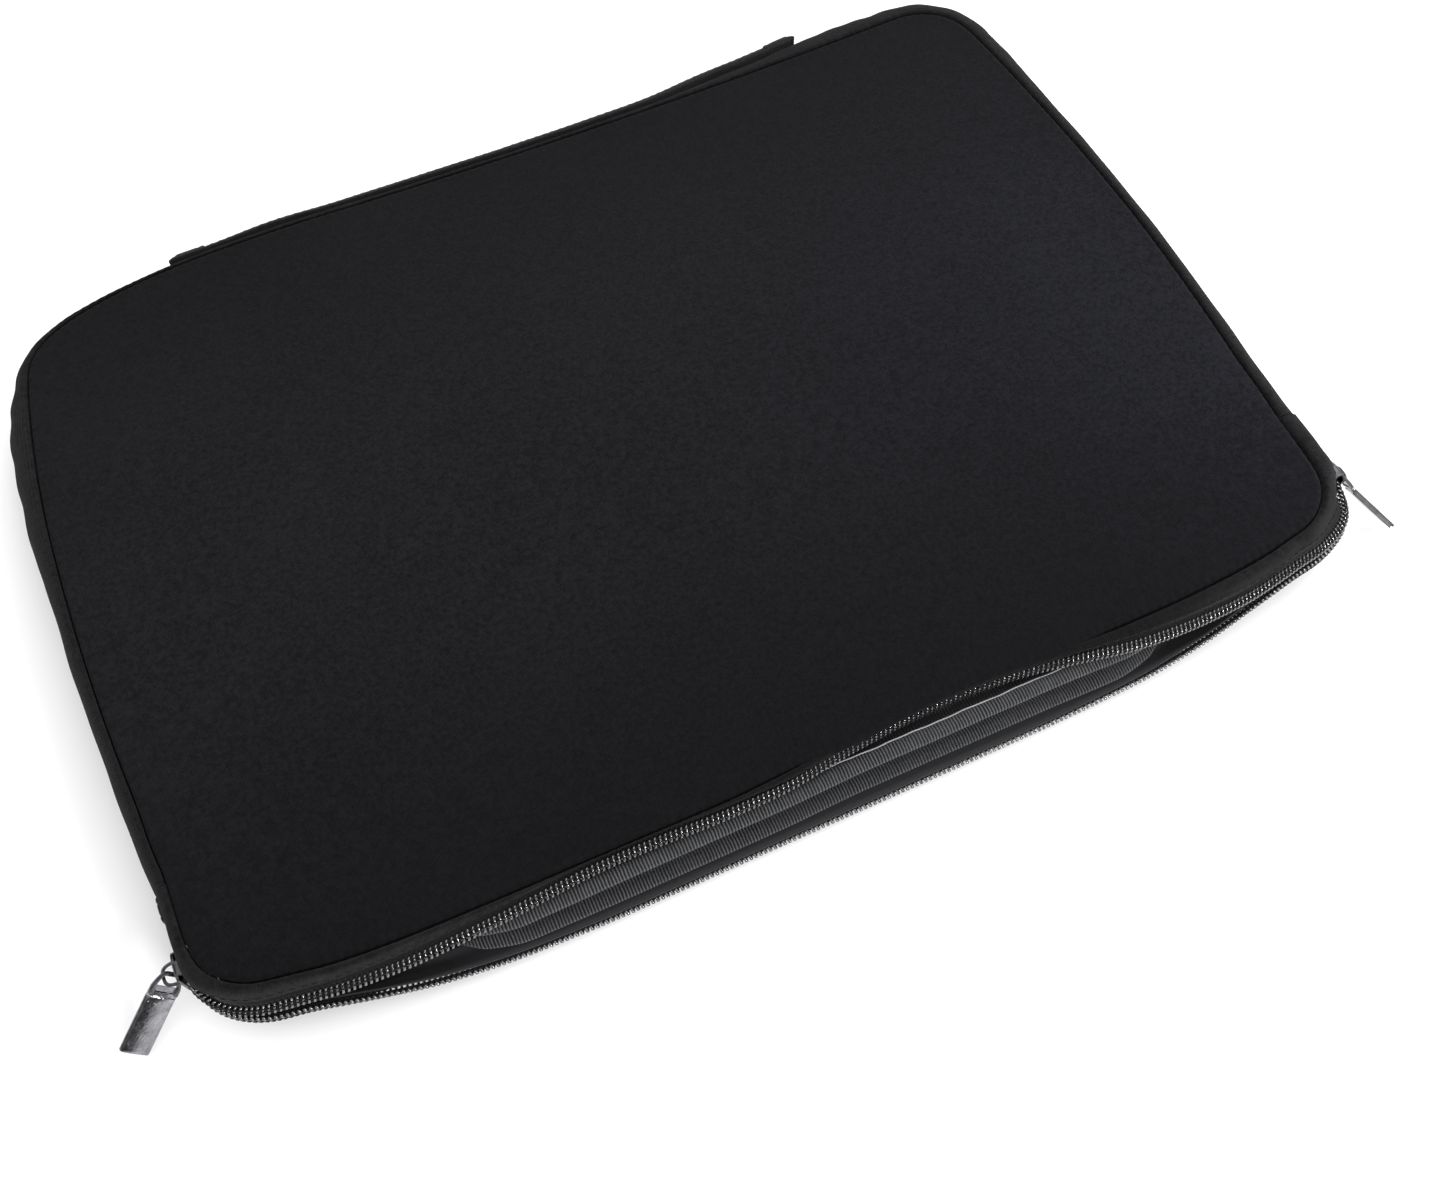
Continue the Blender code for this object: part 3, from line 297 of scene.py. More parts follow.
up_y25 = table([-162.2, -157.5, -143, -124, -114, -99, -87, -68.7, -56.5, -44.4, -33.7, -16.2, 0.8, 14,
                38.9, 59.9, 81.4, 100.5, 119.2, 137.9, 156, 167],
               [-136.6, -137.5, -139.4, -140.1, -139.7, -139.0, -138.0, -136.9, -137.0, -137.5, -137.9,
                -137.6, -135.3, -133.9, -132.4, -133.8, -137.6, -141.0, -142.0, -141.4, -138.8, -136.9])


def tuck(x):
    """1 in the middle of the upper lip, where the strip tucks under."""
    return smooth((np.asarray(x, float) + 18.0) / 30.0) * smooth((96.0 - np.asarray(x, float)) / 28.0)


def up_y(x):
    return up_y25(x) + 0.32 * (25.2 - up_z(x))


LX = [-162.2, -150, -140, -124, -99, -68, 60, 100, 125, 145, 155, 167]
lo_y = table(LX, [-134.3, -137.0, -139.2, -142.0, -144.0, -144.7, -144.7, -144.0, -142.0, -138.8, -136.9, -134.5])
lo_z = table(LX, [17.0, 18.6, 20.6, 24.0, 27.0, 28.0, 28.0, 27.2, 24.2, 20.0, 18.2, 17.0])
lo_a = table(LX, [100, 112, 124, 144, 166, 174, 174, 166, 144, 124, 112, 100])


def bezier(p0, p1, p2, p3, t):
    t = np.asarray(t, float)[:, None]
    return p0 * (1 - t) ** 3 + 3 * p1 * t * (1 - t) ** 2 + 3 * p2 * t * t * (1 - t) + p3 * t ** 3


def bezier_d(p0, p1, p2, p3, t):
    t = np.asarray(t, float)[:, None]
    return 3 * (p1 - p0) * (1 - t) ** 2 + 6 * (p2 - p1) * t * (1 - t) + 3 * (p3 - p2) * t * t


def zip_stations(upper):
    st = []
    z0 = ZIP_Z + COIL_HALF_GAP
    xl, xr = ZL_C[0] - ZL_R, ZR_C[0] + ZR_R
    fy, fz, fa = (up_y, up_z, up_a) if upper else (lo_y, lo_z, lo_a)
    x0, x1 = ZL_C[0], ZR_C[0]

    def corner(c, r, sx, x, degs):
        out = []
        for a in degs:
            w = float(smooth((a - LEVEL) / (90.0 - LEVEL)))
            rr = r + (c[1] - float(fy(x)) - r) * w + (3.0 if sx > 0 else 0.6) * math.exp(-((a - 34.0) / 23.0) ** 2)
            d = np.array([sx * math.cos(math.radians(a)), -math.sin(math.radians(a))])
            if not upper:
                tip = 10.0 * float(smooth((a - 5.0) / 26.0))
            elif sx > 0:
                tip = 54.0 * float(smooth((a - 1.0) / 24.0))
            else:
                tip = 26.0 * float(smooth((a - 18.0) / 30.0))
            out.append((np.array(c) + d * rr, d, z0 + (float(fz(x)) - z0) * w,
                        90.0 + tip + (float(fa(x)) - 90.0 - tip) * w, EDGE_GAP, STRIP_T))
        return out

    def straight(x, sx, ys):
        return [(np.array([x, y]), np.array([sx, 0.0]), z0, 90.0, EDGE_GAP, STRIP_T) for y in ys]

    degs = np.arange(0.0, 89.5, 1.8)
    st += straight(xl, -1.0, np.linspace(STRIP_END_Y, ZL_C[1], 30)[:-1])
    st += corner(ZL_C, ZL_R, -1, x0, degs)
    for x in np.linspace(x0, x1, 430):
        s = float(fy(x + 0.5) - fy(x - 0.5)) if x0 < x < x1 else 0.0
        t = np.array([1.0, s])
        t /= np.linalg.norm(t)
        st.append((np.array([x, float(fy(x))]), np.array([t[1], -t[0]]), float(fz(x)), float(fa(x)),
                   float(up_gap(x)) if upper else EDGE_GAP, float(up_th(x)) if upper else STRIP_T))
    st += reversed(corner(ZR_C, ZR_R, 1, x1, degs))
    st += straight(xr, 1.0, np.linspace(ZR_C[1], STRIP_END_Y, 30)[1:])
    # one smooth run: positions, directions and heights
    raw = np.array([[*s[0], *s[1], s[2], s[3], s[4], s[5]] for s in st])
    raw[:, :2] = blur_path(raw[:, :2], 5.0)
    raw[:, 2:] = blur_path(raw[:, 2:], 5.0)
    raw[:, 2:4] /= np.linalg.norm(raw[:, 2:4], axis=1, keepdims=True)
    return [(r[:2], r[2:4], r[4], r[5], r[6], r[7]) for r in raw]


class Station:
    """One cross-section of the mouth in (n, z), n outwards from the seam."""

    def __init__(self, head, nrm, zh, lean, gap, th, upper):
        self.upper = upper
        poly, run = (TOP, TOP_S) if upper else (BOT, BOT_S)
        d, self.s = ray(head, -nrm, poly, run)
        self.seam = head - nrm * d
        self.nrm = nrm
        x, y = self.seam
        self.zs = float(z_top(x, y)) if upper else 2 * ZIP_Z - float(edge_z(x, y))
        a = math.radians(lean)
        self.back = np.array([math.cos(a), math.sin(a)])
        self.out = np.array([math.sin(a), -math.cos(a)])
        self.head = np.array([d, zh])
        self.coil = self.head + self.back * (COIL_W / 2)
        self.base = self.coil - self.out * (COIL_T / 2 + TAPE_GAP)
        self.edge = self.base + self.back * (COIL_W / 2 + gap)
        self.th = th
        self.p0 = np.array([GAP / 2, self.zs - th])
        k = 0.42 * np.linalg.norm(self.edge - self.p0)
        self.ctrl = (self.p0, self.p0 + np.array([k, -0.02 * k]), self.edge + self.back * k, self.edge)
        c = float(smooth((abs(head[0]) - 148.0) / 18.0))         # 1 round the corners
        mid = float(tuck(head[0])) if upper else 0.0
        end = self.edge + self.out * min(th, EDGE_T - 0.7 * c + 0.25 * mid)
        o = np.array([GAP / 2, self.zs])
        ln = np.linalg.norm(end - o)
        self.octrl = (o, o + np.array([(0.5 - 0.22 * c) * ln, 0.0]), end + self.back * (0.42 - 0.16 * c) * ln, end)
        self.ctrl_in = (self.p0, self.p0 + np.array([k * (1 - 0.35 * c), -0.02 * k]), self.edge + self.back * k * (1 - 0.3 * c), self.edge)

    def xyz(self, q):
        q = np.asarray(q, float)
        z = q[..., 1] if self.upper else 2 * ZIP_Z - q[..., 1]
        return np.stack([self.seam[0] + self.nrm[0] * q[..., 0], self.seam[1] + self.nrm[1] * q[..., 0], z], -1)

    def vec(self, q):
        return np.array([self.nrm[0] * q[0], self.nrm[1] * q[0], q[1] if self.upper else -q[1]])

    def follow(self, t, off):
        p = bezier(*self.ctrl_in, [t])[0]
        d = bezier_d(*self.ctrl_in, [t])[0]
        d = d / np.linalg.norm(d)
        n = np.array([-d[1], d[0]])
        if n[1] * 0.5 + n[0] < 0:
            n = -n
        return p + n * off

    def fouls(self, q):
        return q[0] < GAP / 2 + 0.5 and q[1] > self.zs - PANEL_T - 0.1


UPPER = [Station(*s, True) for s in zip_stations(True)]
LOWER = [Station(*s, False) for s in zip_stations(False)]


# --------------------------------------------------------------- mesh writing
def write_mesh(name, verts, polys, mats, uv=None, index=None, sharp=None):
    """verts in millimetres (n, 3); polys a list of (k, m) index arrays; uv the
    matching list of (k, m, 2) corner coordinates in millimetres."""
    me = bpy.data.meshes.new(name)
    verts = np.asarray(verts, float)
    me.vertices.add(len(verts))
    me.vertices.foreach_set("co", (verts * MM).astype(np.float32).ravel())
    loops = np.concatenate([p.ravel() for p in polys]).astype(np.int32)
    totals = np.concatenate([np.full(len(p), p.shape[1]) for p in polys]).astype(np.int32)
    starts = np.concatenate([[0], np.cumsum(totals)[:-1]]).astype(np.int32)
    me.loops.add(len(loops))
    me.loops.foreach_set("vertex_index", loops)
    me.polygons.add(len(totals))
    me.polygons.foreach_set("loop_start", starts)
    me.polygons.foreach_set("loop_total", totals)
    if index is not None:
        me.polygons.foreach_set("material_index", index.astype(np.int32))
    me.update(calc_edges=True)
    layer = me.uv_layers.new(name="cloth")
    if uv is None:
        flat = verts[loops][:, :2]
    else:
        flat = np.concatenate([u.reshape(-1, 2) for u in uv])
    layer.data.foreach_set("uv", flat.astype(np.float32).ravel())
    me.validate(clean_customdata=False)
    me.shade_smooth()
    if sharp:
        me.set_sharp_from_angle(angle=math.radians(sharp))
    for m in (mats if isinstance(mats, (list, tuple)) else [mats]):
        me.materials.append(m)
    ob = bpy.data.objects.new(name, me)
    bpy.context.scene.collection.objects.link(ob)
    return ob


def skin(name, P, mat, close_ring=True, close_run=False, caps=True, uv_run=None, uv_ring=None, flip=False):
    """A mesh over a grid of points P (stations, ring, 3)."""
    n, m = P.shape[:2]
    nr, nc = (n if close_run else n - 1), (m if close_ring else m - 1)
    i, j = np.meshgrid(np.arange(nr), np.arange(nc), indexing="ij")
    i, j = i.ravel(), j.ravel()
    i2, j2 = (i + 1) % n, (j + 1) % m
    q = np.stack([i * m + j, i * m + j2, i2 * m + j2, i2 * m + j], 1)
    if uv_run is None:
        mid = P.mean(1)
        uv_run = run_of(mid, close_run)
    if uv_ring is None:
        uv_ring = run_of(P[n // 2], close_ring)
    if len(uv_run) < nr + 1:
        uv_run = np.append(uv_run, uv_run[-1] + 1)
    u = np.stack([uv_run[i], uv_run[i], uv_run[i + 1], uv_run[i + 1]], 1)
    v = np.stack([uv_ring[j], uv_ring[j + 1], uv_ring[j + 1], uv_ring[j]], 1)
    uv = np.stack([u, v], -1)
    verts = P.reshape(-1, 3)
    polys, uvs = [q], [uv]
    if caps and close_ring and not close_run:
        for k, rev in ((0, True), (n - 1, False)):
            c = len(verts)
            verts = np.vstack([verts, P[k].mean(0)[None]])
            a = np.arange(m)
            t = np.stack([k * m + a, k * m + (a + 1) % m, np.full(m, c)], 1)
            if rev:
                t = t[:, ::-1]
            polys.append(t)
            uvs.append(verts[t][:, :, :2] * 0.0 + np.array([uv_run[k], 0.0]))
    if flip:
        polys = [p[:, ::-1] for p in polys]
        uvs = [u[:, ::-1] for u in uvs]
    return write_mesh(name, verts, polys, mat, uvs)


def outward(ob):
    """Faces turned to point out of a closed mesh."""
    bm = bmesh.new()
    bm.from_mesh(ob.data)
    bmesh.ops.recalc_face_normals(bm, faces=bm.faces)
    bm.to_mesh(ob.data)
    bm.free()
    return ob


def place(ob, body, node=None):
    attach(ob, body)
    if node:
        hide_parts(*([node] if isinstance(node, str) else node))
    return ob


def grid_normals(P, close_ring=True):
    a = np.gradient(P, axis=0)
    b = (np.roll(P, -1, 1) - np.roll(P, 1, 1)) if close_ring else np.gradient(P, axis=1)
    return unit(np.cross(a, b))


def tube(name, path, radius, mat, m=6, closed=False):
    """A plain round tube along a path (millimetres)."""
    p = np.asarray(path, float)
    t = unit(np.gradient(p, axis=0))
    ref = np.array([0.0, 0.0, 1.0])
    a = unit(np.cross(t, ref) + 1e-9)
    b = np.cross(a, t)
    r = np.broadcast_to(np.asarray(radius, float), (len(p),))
    ang = 2 * np.pi * np.arange(m) / m
    P = (p[:, None] + r[:, None, None] * (a[:, None] * np.cos(ang)[None, :, None] + b[:, None] * np.sin(ang)[None, :, None]))
    return outward(skin(name, P, mat, close_run=closed))


def stitch_row(name, path, nrm, mat, length=2.3, gap=0.8, radius=0.22, lift=0.10, m=6, k=7, start=0.5, jitter=0.12):
    """Sewn stitches lying along a path on a surface with normals nrm."""
    path = np.asarray(path, float)
    s = run_of(path)
    step = length + gap
    n = int((s[-1] - start) / step)
    verts, quads = [], []
    rng = np.random.default_rng(7)
    ang = 2 * np.pi * np.arange(m) / m
    for i in range(max(n, 1)):
        s0 = start + i * step + rng.uniform(-jitter, jitter)
        q = np.linspace(s0, s0 + length, k)
        p = np.stack([np.interp(q, s, path[:, c]) for c in range(3)], 1)
        nn = unit(np.stack([np.interp(q, s, nrm[:, c]) for c in range(3)], 1))
        w = np.linspace(0, 1, k)
        p = p + nn * ((lift + radius * 0.5) * np.sin(np.pi * w) ** 0.6 - radius * 0.9 * (1 - np.sin(np.pi * w) ** 0.5))[:, None]
        t = unit(np.gradient(p, axis=0))
        b = unit(np.cross(t, nn))
        up = np.cross(b, t)
        r = radius * (0.55 + 0.45 * np.sin(np.pi * w) ** 0.5)
        ring = p[:, None] + r[:, None, None] * (b[:, None] * np.cos(ang)[None, :, None] + up[:, None] * np.sin(ang)[None, :, None])
        base = len(verts) * k * m
        verts.append(ring.reshape(-1, 3))
        a, c = np.meshgrid(np.arange(k - 1), np.arange(m), indexing="ij")
        a, c = a.ravel(), c.ravel()
        quads.append(base + np.stack([a * m + c, a * m + (c + 1) % m, (a + 1) * m + (c + 1) % m, (a + 1) * m + c], 1))
    ob = write_mesh(name, np.vstack(verts), [np.vstack(quads)], mat)
    return outward(ob)


# ------------------------------------------------------------------- materials
class Look:
    """A small helper that writes a procedural material."""

    def __init__(self, name, rgb, rough, metal=0.0, spec=0.5, sheen=0.0, sheen_rough=0.5, coat=0.0, ior=1.5):
        self.m = bpy.data.materials.new(name)
        self.m.use_nodes = True
        self.t = self.m.node_tree
        self.b = self.t.nodes["Principled BSDF"]
        b = self.b.inputs
        b["Base Color"].default_value = (*rgb, 1.0)
        b["Roughness"].default_value = rough
        b["Metallic"].default_value = metal
        b["IOR"].default_value = ior
        b["Specular IOR Level"].default_value = spec
        b["Sheen Weight"].default_value = sheen
        b["Sheen Roughness"].default_value = sheen_rough
        b["Coat Weight"].default_value = coat
        self.m.diffuse_color = (*rgb, 1.0)
        self.x = -400

    def node(self, kind, **kw):
        n = self.t.nodes.new(kind)
        self.x -= 30
        n.location = (self.x, self.x % 700)
        for k, v in kw.items():
            setattr(n, k, v)
        return n

    def put(self, socket, v):
        if isinstance(v, bpy.types.NodeSocket):
            self.t.links.new(v, socket)
        else:
            socket.default_value = v

    def math(self, op, a, b=None, c=None, clamp=False):
        n = self.node("ShaderNodeMath", operation=op, use_clamp=clamp)
        for k, v in enumerate((a, b, c)):
            if v is not None:
                self.put(n.inputs[k], v)
        return n.outputs[0]

    def uv(self):
        return self.node("ShaderNodeUVMap", uv_map="cloth").outputs["UV"]

    def obj(self):
        return self.node("ShaderNodeTexCoord").outputs["Object"]

    def split(self, v):
        n = self.node("ShaderNodeSeparateXYZ")
        self.put(n.inputs[0], v)
        return n.outputs

    def join(self, x, y, z=0.0):
        n = self.node("ShaderNodeCombineXYZ")
        for k, v in enumerate((x, y, z)):
            self.put(n.inputs[k], v)
        return n.outputs[0]

    def noise(self, v, scale, detail=2.0, rough=0.5, distort=0.0):
        n = self.node("ShaderNodeTexNoise", noise_dimensions="3D")
        self.put(n.inputs["Vector"], v)
        n.inputs["Scale"].default_value = scale
        n.inputs["Detail"].default_value = detail
        n.inputs["Roughness"].default_value = rough
        n.inputs["Distortion"].default_value = distort
        return n.outputs["Fac"]

    def voronoi(self, v, scale, feature="F1", rand=1.0):
        n = self.node("ShaderNodeTexVoronoi", feature=feature)
        self.put(n.inputs["Vector"], v)
        n.inputs["Scale"].default_value = scale
        n.inputs["Randomness"].default_value = rand
        return n.outputs

    def ramp(self, v, lo, hi, a=0.0, b=1.0):
        n = self.node("ShaderNodeMapRange", interpolation_type="SMOOTHSTEP")
        self.put(n.inputs["Value"], v)
        for k, x in (("From Min", lo), ("From Max", hi), ("To Min", a), ("To Max", b)):
            n.inputs[k].default_value = x
        return n.outputs["Result"]

    def mix(self, f, a, b):
        n = self.node("ShaderNodeMix", data_type="RGBA")
        self.put(n.inputs["Factor"], f)
        for s, v in (("A", a), ("B", b)):
            sock = [i for i in n.inputs if i.name == s and i.type == "RGBA"][0]
            self.put(sock, v if isinstance(v, bpy.types.NodeSocket) else (*v, 1.0))
        return [o for o in n.outputs if o.type == "RGBA"][0]

    def bump(self, height, dist, strength=1.0, under=None):
        n = self.node("ShaderNodeBump")
        n.inputs["Strength"].default_value = strength
        n.inputs["Distance"].default_value = dist
        self.put(n.inputs["Height"], height)
        if under is not None:
            self.put(n.inputs["Normal"], under)
        return n.outputs["Normal"]

    def set(self, name, v):
        self.put(self.b.inputs[name], v)


def jersey(L, uv, p=0.62, q=0.50):
    """Height of a plain knit face: columns of small Vs, in millimetres of uv."""
    x, y, _ = L.split(uv)
    a = L.math("MULTIPLY", x, math.pi / p)
    col = L.math("ABSOLUTE", L.math("SINE", a))
    tri = L.math("ABSOLUTE", L.math("SUBTRACT", L.math("FRACT", L.math("MULTIPLY", x, 1.0 / p)), 0.5))
    ph = L.math("ADD", L.math("MULTIPLY", y, 2 * math.pi / q), L.math("MULTIPLY", tri, 5.0))
    row = L.math("MULTIPLY_ADD", L.math("SINE", ph), 0.5, 0.5)
    return L.math("MULTIPLY", L.math("POWER", col, 0.6), L.math("MULTIPLY_ADD", row, 0.55, 0.45))


def neoprene(name, dark, light, rough=0.82, spec=0.22, sheen=0.10, fuzz=1.0, lint=True, middle=False, painted_shading=False, blot=0.0):
    L = Look(name, light, rough, spec=spec, sheen=sheen, sheen_rough=0.45)
    uv, ob = L.uv(), L.obj()
    knit = jersey(L, uv)
    big = L.noise(ob, 22.0, 3.0, 0.55)
    mid = L.noise(ob, 260.0, 3.0, 0.6)
    fine = L.noise(ob, 1500.0, 2.0, 0.6)
    grain = L.noise(ob, 620.0, 2.0, 0.75)
    tone = L.math("MULTIPLY_ADD", knit, 0.22, L.math("MULTIPLY_ADD", fine, 0.40, L.math("MULTIPLY", mid, 0.25)))
    tone = L.math("ADD", tone, L.math("MULTIPLY_ADD", grain, 0.80, -0.13))
    tone = L.math("ADD", tone, L.math("MULTIPLY_ADD", big, 0.14, -0.07))
    if blot:
        # long soft mottling where the cloth is worked round the zip
        tone = L.math("ADD", tone, L.math("MULTIPLY_ADD", L.noise(ob, 105.0, 2.0, 0.5), blot, -0.5 * blot))
    shade = L.ramp(tone, 0.40, 1.00)
    x, y, _ = L.split(ob)
    if painted_shading:
        # painted shade and painted light: darker towards the mouth and the spine, lighter towards the right nearer the
        # mouth, standing in for how the lamps fall
        f = L.math("MULTIPLY", L.ramp(y, -0.150, -0.020, 0.34, 1.0), L.ramp(y, 0.0, 0.135, 1.0, 0.54))
        shade = L.math("MULTIPLY", shade, L.math("MULTIPLY", f, L.math("ADD", 1.0, L.math("MULTIPLY", L.ramp(x, 0.09, 0.19, 0.0, 0.80), L.ramp(y, -0.11, 0.07, 1.0, 0.06)))))
    if middle:
        # painted shade: darker along the middle of the mouth, standing in for the shade where the upper strip tucks
        # under the rolled panel edge
        shade = L.math("MULTIPLY", shade, L.ramp(L.math("ABSOLUTE", L.math("SUBTRACT", x, 0.036)), 0.055, 0.115, 0.10, 1.0))
    if painted_shading:
        # painted light: a bluer cast towards the right, standing in for the colour of the light falling there
        light = L.mix(L.ramp(x, -0.08, 0.16), light, (0.96 * light[0], 0.98 * light[1], 1.14 * light[2]))
    col = L.mix(shade, dark, light)
    if lint:
        v = L.voronoi(ob, 34.0)
        near = L.math("LESS_THAN", v["Distance"], 0.0042)
        pick = L.math("GREATER_THAN", L.split(v["Color"])[0], 0.80)
        col = L.mix(L.math("MULTIPLY", near, pick), col, (0.16, 0.16, 0.18))
    L.set("Base Color", col)
    L.set("Roughness", L.ramp(tone, 0.2, 1.1, rough - 0.05, min(rough + 0.08, 1.0)))
    n1 = L.bump(mid, 0.00022 * fuzz)
    n2 = L.bump(L.math("MULTIPLY_ADD", fine, 0.8, L.math("MULTIPLY", knit, 0.7)), 0.00016 * fuzz, under=n1)
    L.set("Normal", n2)
    return L.m


def knit_rib(name, dark, light, pitch, rough=0.92, sheen=0.5, bump=0.00025, painted_shade_y=None):
    """Ribbed knit: ribs across the piece, each broken by its loops, with fuzz."""
    L = Look(name, light, rough, spec=0.15, sheen=sheen, sheen_rough=0.6)
    uv, ob = L.uv(), L.obj()
    x, y, _ = L.split(uv)
    wob = L.math("MULTIPLY_ADD", L.noise(ob, 400.0, 2.0), 0.5, -0.25)
    rib = L.math("MULTIPLY_ADD", L.math("SINE", L.math("MULTIPLY", L.math("ADD", x, wob), 2 * math.pi / pitch)), 0.5, 0.5)
    loop = L.math("MULTIPLY_ADD", L.math("SINE", L.math("MULTIPLY", y, 2 * math.pi / 0.55)), 0.5, 0.5)
    fine = L.noise(ob, 2600.0, 2.0, 0.7)
    mid = L.noise(ob, 330.0, 3.0, 0.6)
    h = L.math("MULTIPLY_ADD", rib, 0.55, L.math("MULTIPLY_ADD", loop, 0.2, L.math("MULTIPLY", fine, 0.45)))
    tone = L.math("MULTIPLY_ADD", mid, 0.6, L.math("MULTIPLY", h, 0.8))
    tone = L.math("MULTIPLY", tone, L.math("MULTIPLY_ADD", rib, 0.75, 0.42))
    shade = L.ramp(tone, 0.30, 1.20)
    if painted_shade_y is not None:
        # painted shade: behind the rolled front the band's colour goes to the dark tone, standing in for the shade
        # under the coil and panel edge
        shade = L.math("MULTIPLY", shade, L.ramp(L.split(ob)[1], painted_shade_y, painted_shade_y + 0.0013, 1.0, 0.0))
    L.set("Base Color", L.mix(shade, dark, light))
    L.set("Normal", L.bump(h, bump))
    return L.m


def woven(name, dark, light, p=0.45, rough=0.7, spec=0.3, sheen=0.12, bump=0.00012):
    """Plain weave tape."""
    L = Look(name, light, rough, spec=spec, sheen=sheen)
    uv, ob = L.uv(), L.obj()
    x, y, _ = L.split(uv)
    a = L.math("SINE", L.math("MULTIPLY", x, 2 * math.pi / p))
    b = L.math("SINE", L.math("MULTIPLY", y, 2 * math.pi / (p * 1.25)))
    over = L.math("MULTIPLY_ADD", L.math("MULTIPLY", a, b), 0.5, 0.5)
    fine = L.noise(ob, 2400.0, 2.0, 0.6)
    h = L.math("MULTIPLY_ADD", over, 0.7, L.math("MULTIPLY", fine, 0.4))
    L.set("Base Color", L.mix(L.ramp(h, 0.2, 1.0), dark, light))
    L.set("Normal", L.bump(h, bump))
    return L.m


def nylon(name):
    L = Look(name, (0.012, 0.012, 0.014), 0.15, spec=0.85, ior=1.85)
    ob = L.obj()
    f = L.noise(ob, 900.0, 2.0, 0.6)
    L.set("Base Color", L.mix(L.ramp(f, 0.3, 0.7), (0.011, 0.011, 0.012), (0.024, 0.024, 0.027)))
    L.set("Roughness", L.ramp(f, 0.25, 0.75, 0.11, 0.22))
    L.set("Normal", L.bump(L.noise(ob, 3500.0, 2.0), 0.00002))
    return L.m


def gunmetal(name, dark, light, peel_depth=0.00004, pits=0.00005):
    L = Look(name, light, 0.20, metal=1.0)
    ob = L.obj()
    peel = L.noise(ob, 1700.0, 2.0, 0.55)
    grain = L.noise(ob, 6000.0, 1.0, 0.5)
    worn = L.noise(ob, 420.0, 3.0, 0.6)
    v = L.voronoi(ob, 900.0)
    pit = L.ramp(v["Distance"], 0.05, 0.22, 1.0, 0.0)
    tone = L.math("MULTIPLY_ADD", worn, 0.7, L.math("MULTIPLY", peel, 0.4))
    col = L.mix(L.ramp(tone, 0.25, 0.85), dark, light)
    L.set("Base Color", L.mix(L.math("MULTIPLY", pit, 0.55), col, tuple(0.25 * c for c in dark)))
    L.set("Roughness", L.ramp(tone, 0.2, 0.9, 0.10, 0.19))
    n1 = L.bump(peel, peel_depth)
    L.set("Normal", L.bump(L.math("MULTIPLY_ADD", pit, -0.6, L.math("MULTIPLY", grain, 0.25)), pits, under=n1))
    return L.m


def thread(name, rgb, rough, spec):
    L = Look(name, rgb, rough, spec=spec, sheen=0.03)
    ob = L.obj()
    f = L.noise(ob, 5200.0, 2.0, 0.6)
    L.set("Base Color", L.mix(L.ramp(f, 0.3, 0.7), tuple(0.6 * c for c in rgb), tuple(min(1.4 * c, 1) for c in rgb)))
    L.set("Normal", L.bump(f, 0.00006))
    return L.m


# painted shade and painted light in the face panels' colour: darker towards the mouth and spine, lighter and bluer
# towards the right
PANEL_M = neoprene("neoprene_face", (0.0026, 0.0026, 0.0030), (0.0109, 0.0110, 0.0127), spec=0.06, sheen=0.03, painted_shading=True)
# painted shade in the strips' colour: darker along the middle of the mouth
STRIP_M = neoprene("neoprene_strip", (0.0026, 0.0027, 0.0031), (0.0120, 0.0122, 0.0132), spec=0.07, sheen=0.045, fuzz=1.9, lint=False, middle=True, blot=0.9)
GUSSET_M = neoprene("neoprene_gusset", (0.0026, 0.0027, 0.0031), (0.0112, 0.0114, 0.0124), spec=0.06, sheen=0.040, fuzz=1.9, lint=False, blot=0.30)
# painted sheen: the strap cloth is coloured lighter than the sleeve's own neoprene, standing in for the light its top
# edge catches; the zip and handle tabs use it too
STRAP_SHEEN_M = neoprene("strap_cloth_painted_sheen", (0.0076, 0.0077, 0.0083), (0.0265, 0.0268, 0.0285), spec=0.08, sheen=0.18, fuzz=1.3, lint=False)
LINING_M = knit_rib("brushed_lining", (0.006, 0.006, 0.0066), (0.024, 0.0245, 0.027), 0.75, sheen=0.16, bump=0.00018)
# painted shade: the guard's colour is dark behind its rolled front
GUARD_M = knit_rib("ribbed_guard", (0.0055, 0.0055, 0.0060), (0.085, 0.087, 0.092), 0.98, sheen=0.10, bump=0.00034, painted_shade_y=-0.1354)
BINDING_M = knit_rib("seam_binding", (0.006, 0.006, 0.0066), (0.030, 0.031, 0.034), 0.80, sheen=0.16)
TAPE_M = woven("zip_tape_weave", (0.0060, 0.0060, 0.0068), (0.0200, 0.0200, 0.0240))
COIL_M = nylon("coil_nylon")
METAL_M = gunmetal("gunmetal_plate", (0.15, 0.15, 0.16), (0.34, 0.34, 0.36))
# painted shade: the right puller's plate, the pullers' frames and the sliders take darker copies of the one gunmetal,
# standing in for shade
SHADED_PLATE_METAL_M = gunmetal("gunmetal_plate_shaded", (0.085, 0.083, 0.083), (0.17, 0.165, 0.165), 0.00001, 0.00001)
SHADED_FRAME_METAL_M = gunmetal("gunmetal_frame_shaded", (0.07, 0.07, 0.08), (0.14, 0.14, 0.15))
SHADED_METAL_M = gunmetal("gunmetal_shaded", (0.045, 0.045, 0.05), (0.085, 0.085, 0.09))
THREAD_M = thread("sewing_thread", (0.008, 0.008, 0.009), 0.75, 0.12)
PALE_THREAD_M = thread("selvedge_thread", (0.30, 0.30, 0.32), 0.6, 0.3)


# ---------------------------------------------------------------------- panels
def pucker(s):
    """1 where the needle went through, 0 between, along the run of a seam."""
    s = s + 0.5 * np.sin(s / 17.0) + 0.3 * np.sin(s / 7.3)
    return 0.5 + 0.5 * np.cos(2 * np.pi * s / STITCH)


def roll(d, R):
    """How far a cloth edge has turned down, d inside its seam."""
    x = np.clip(1 - d / R, 0.0, 1.0)
    return R * (1 - np.sqrt(1 - x * x))


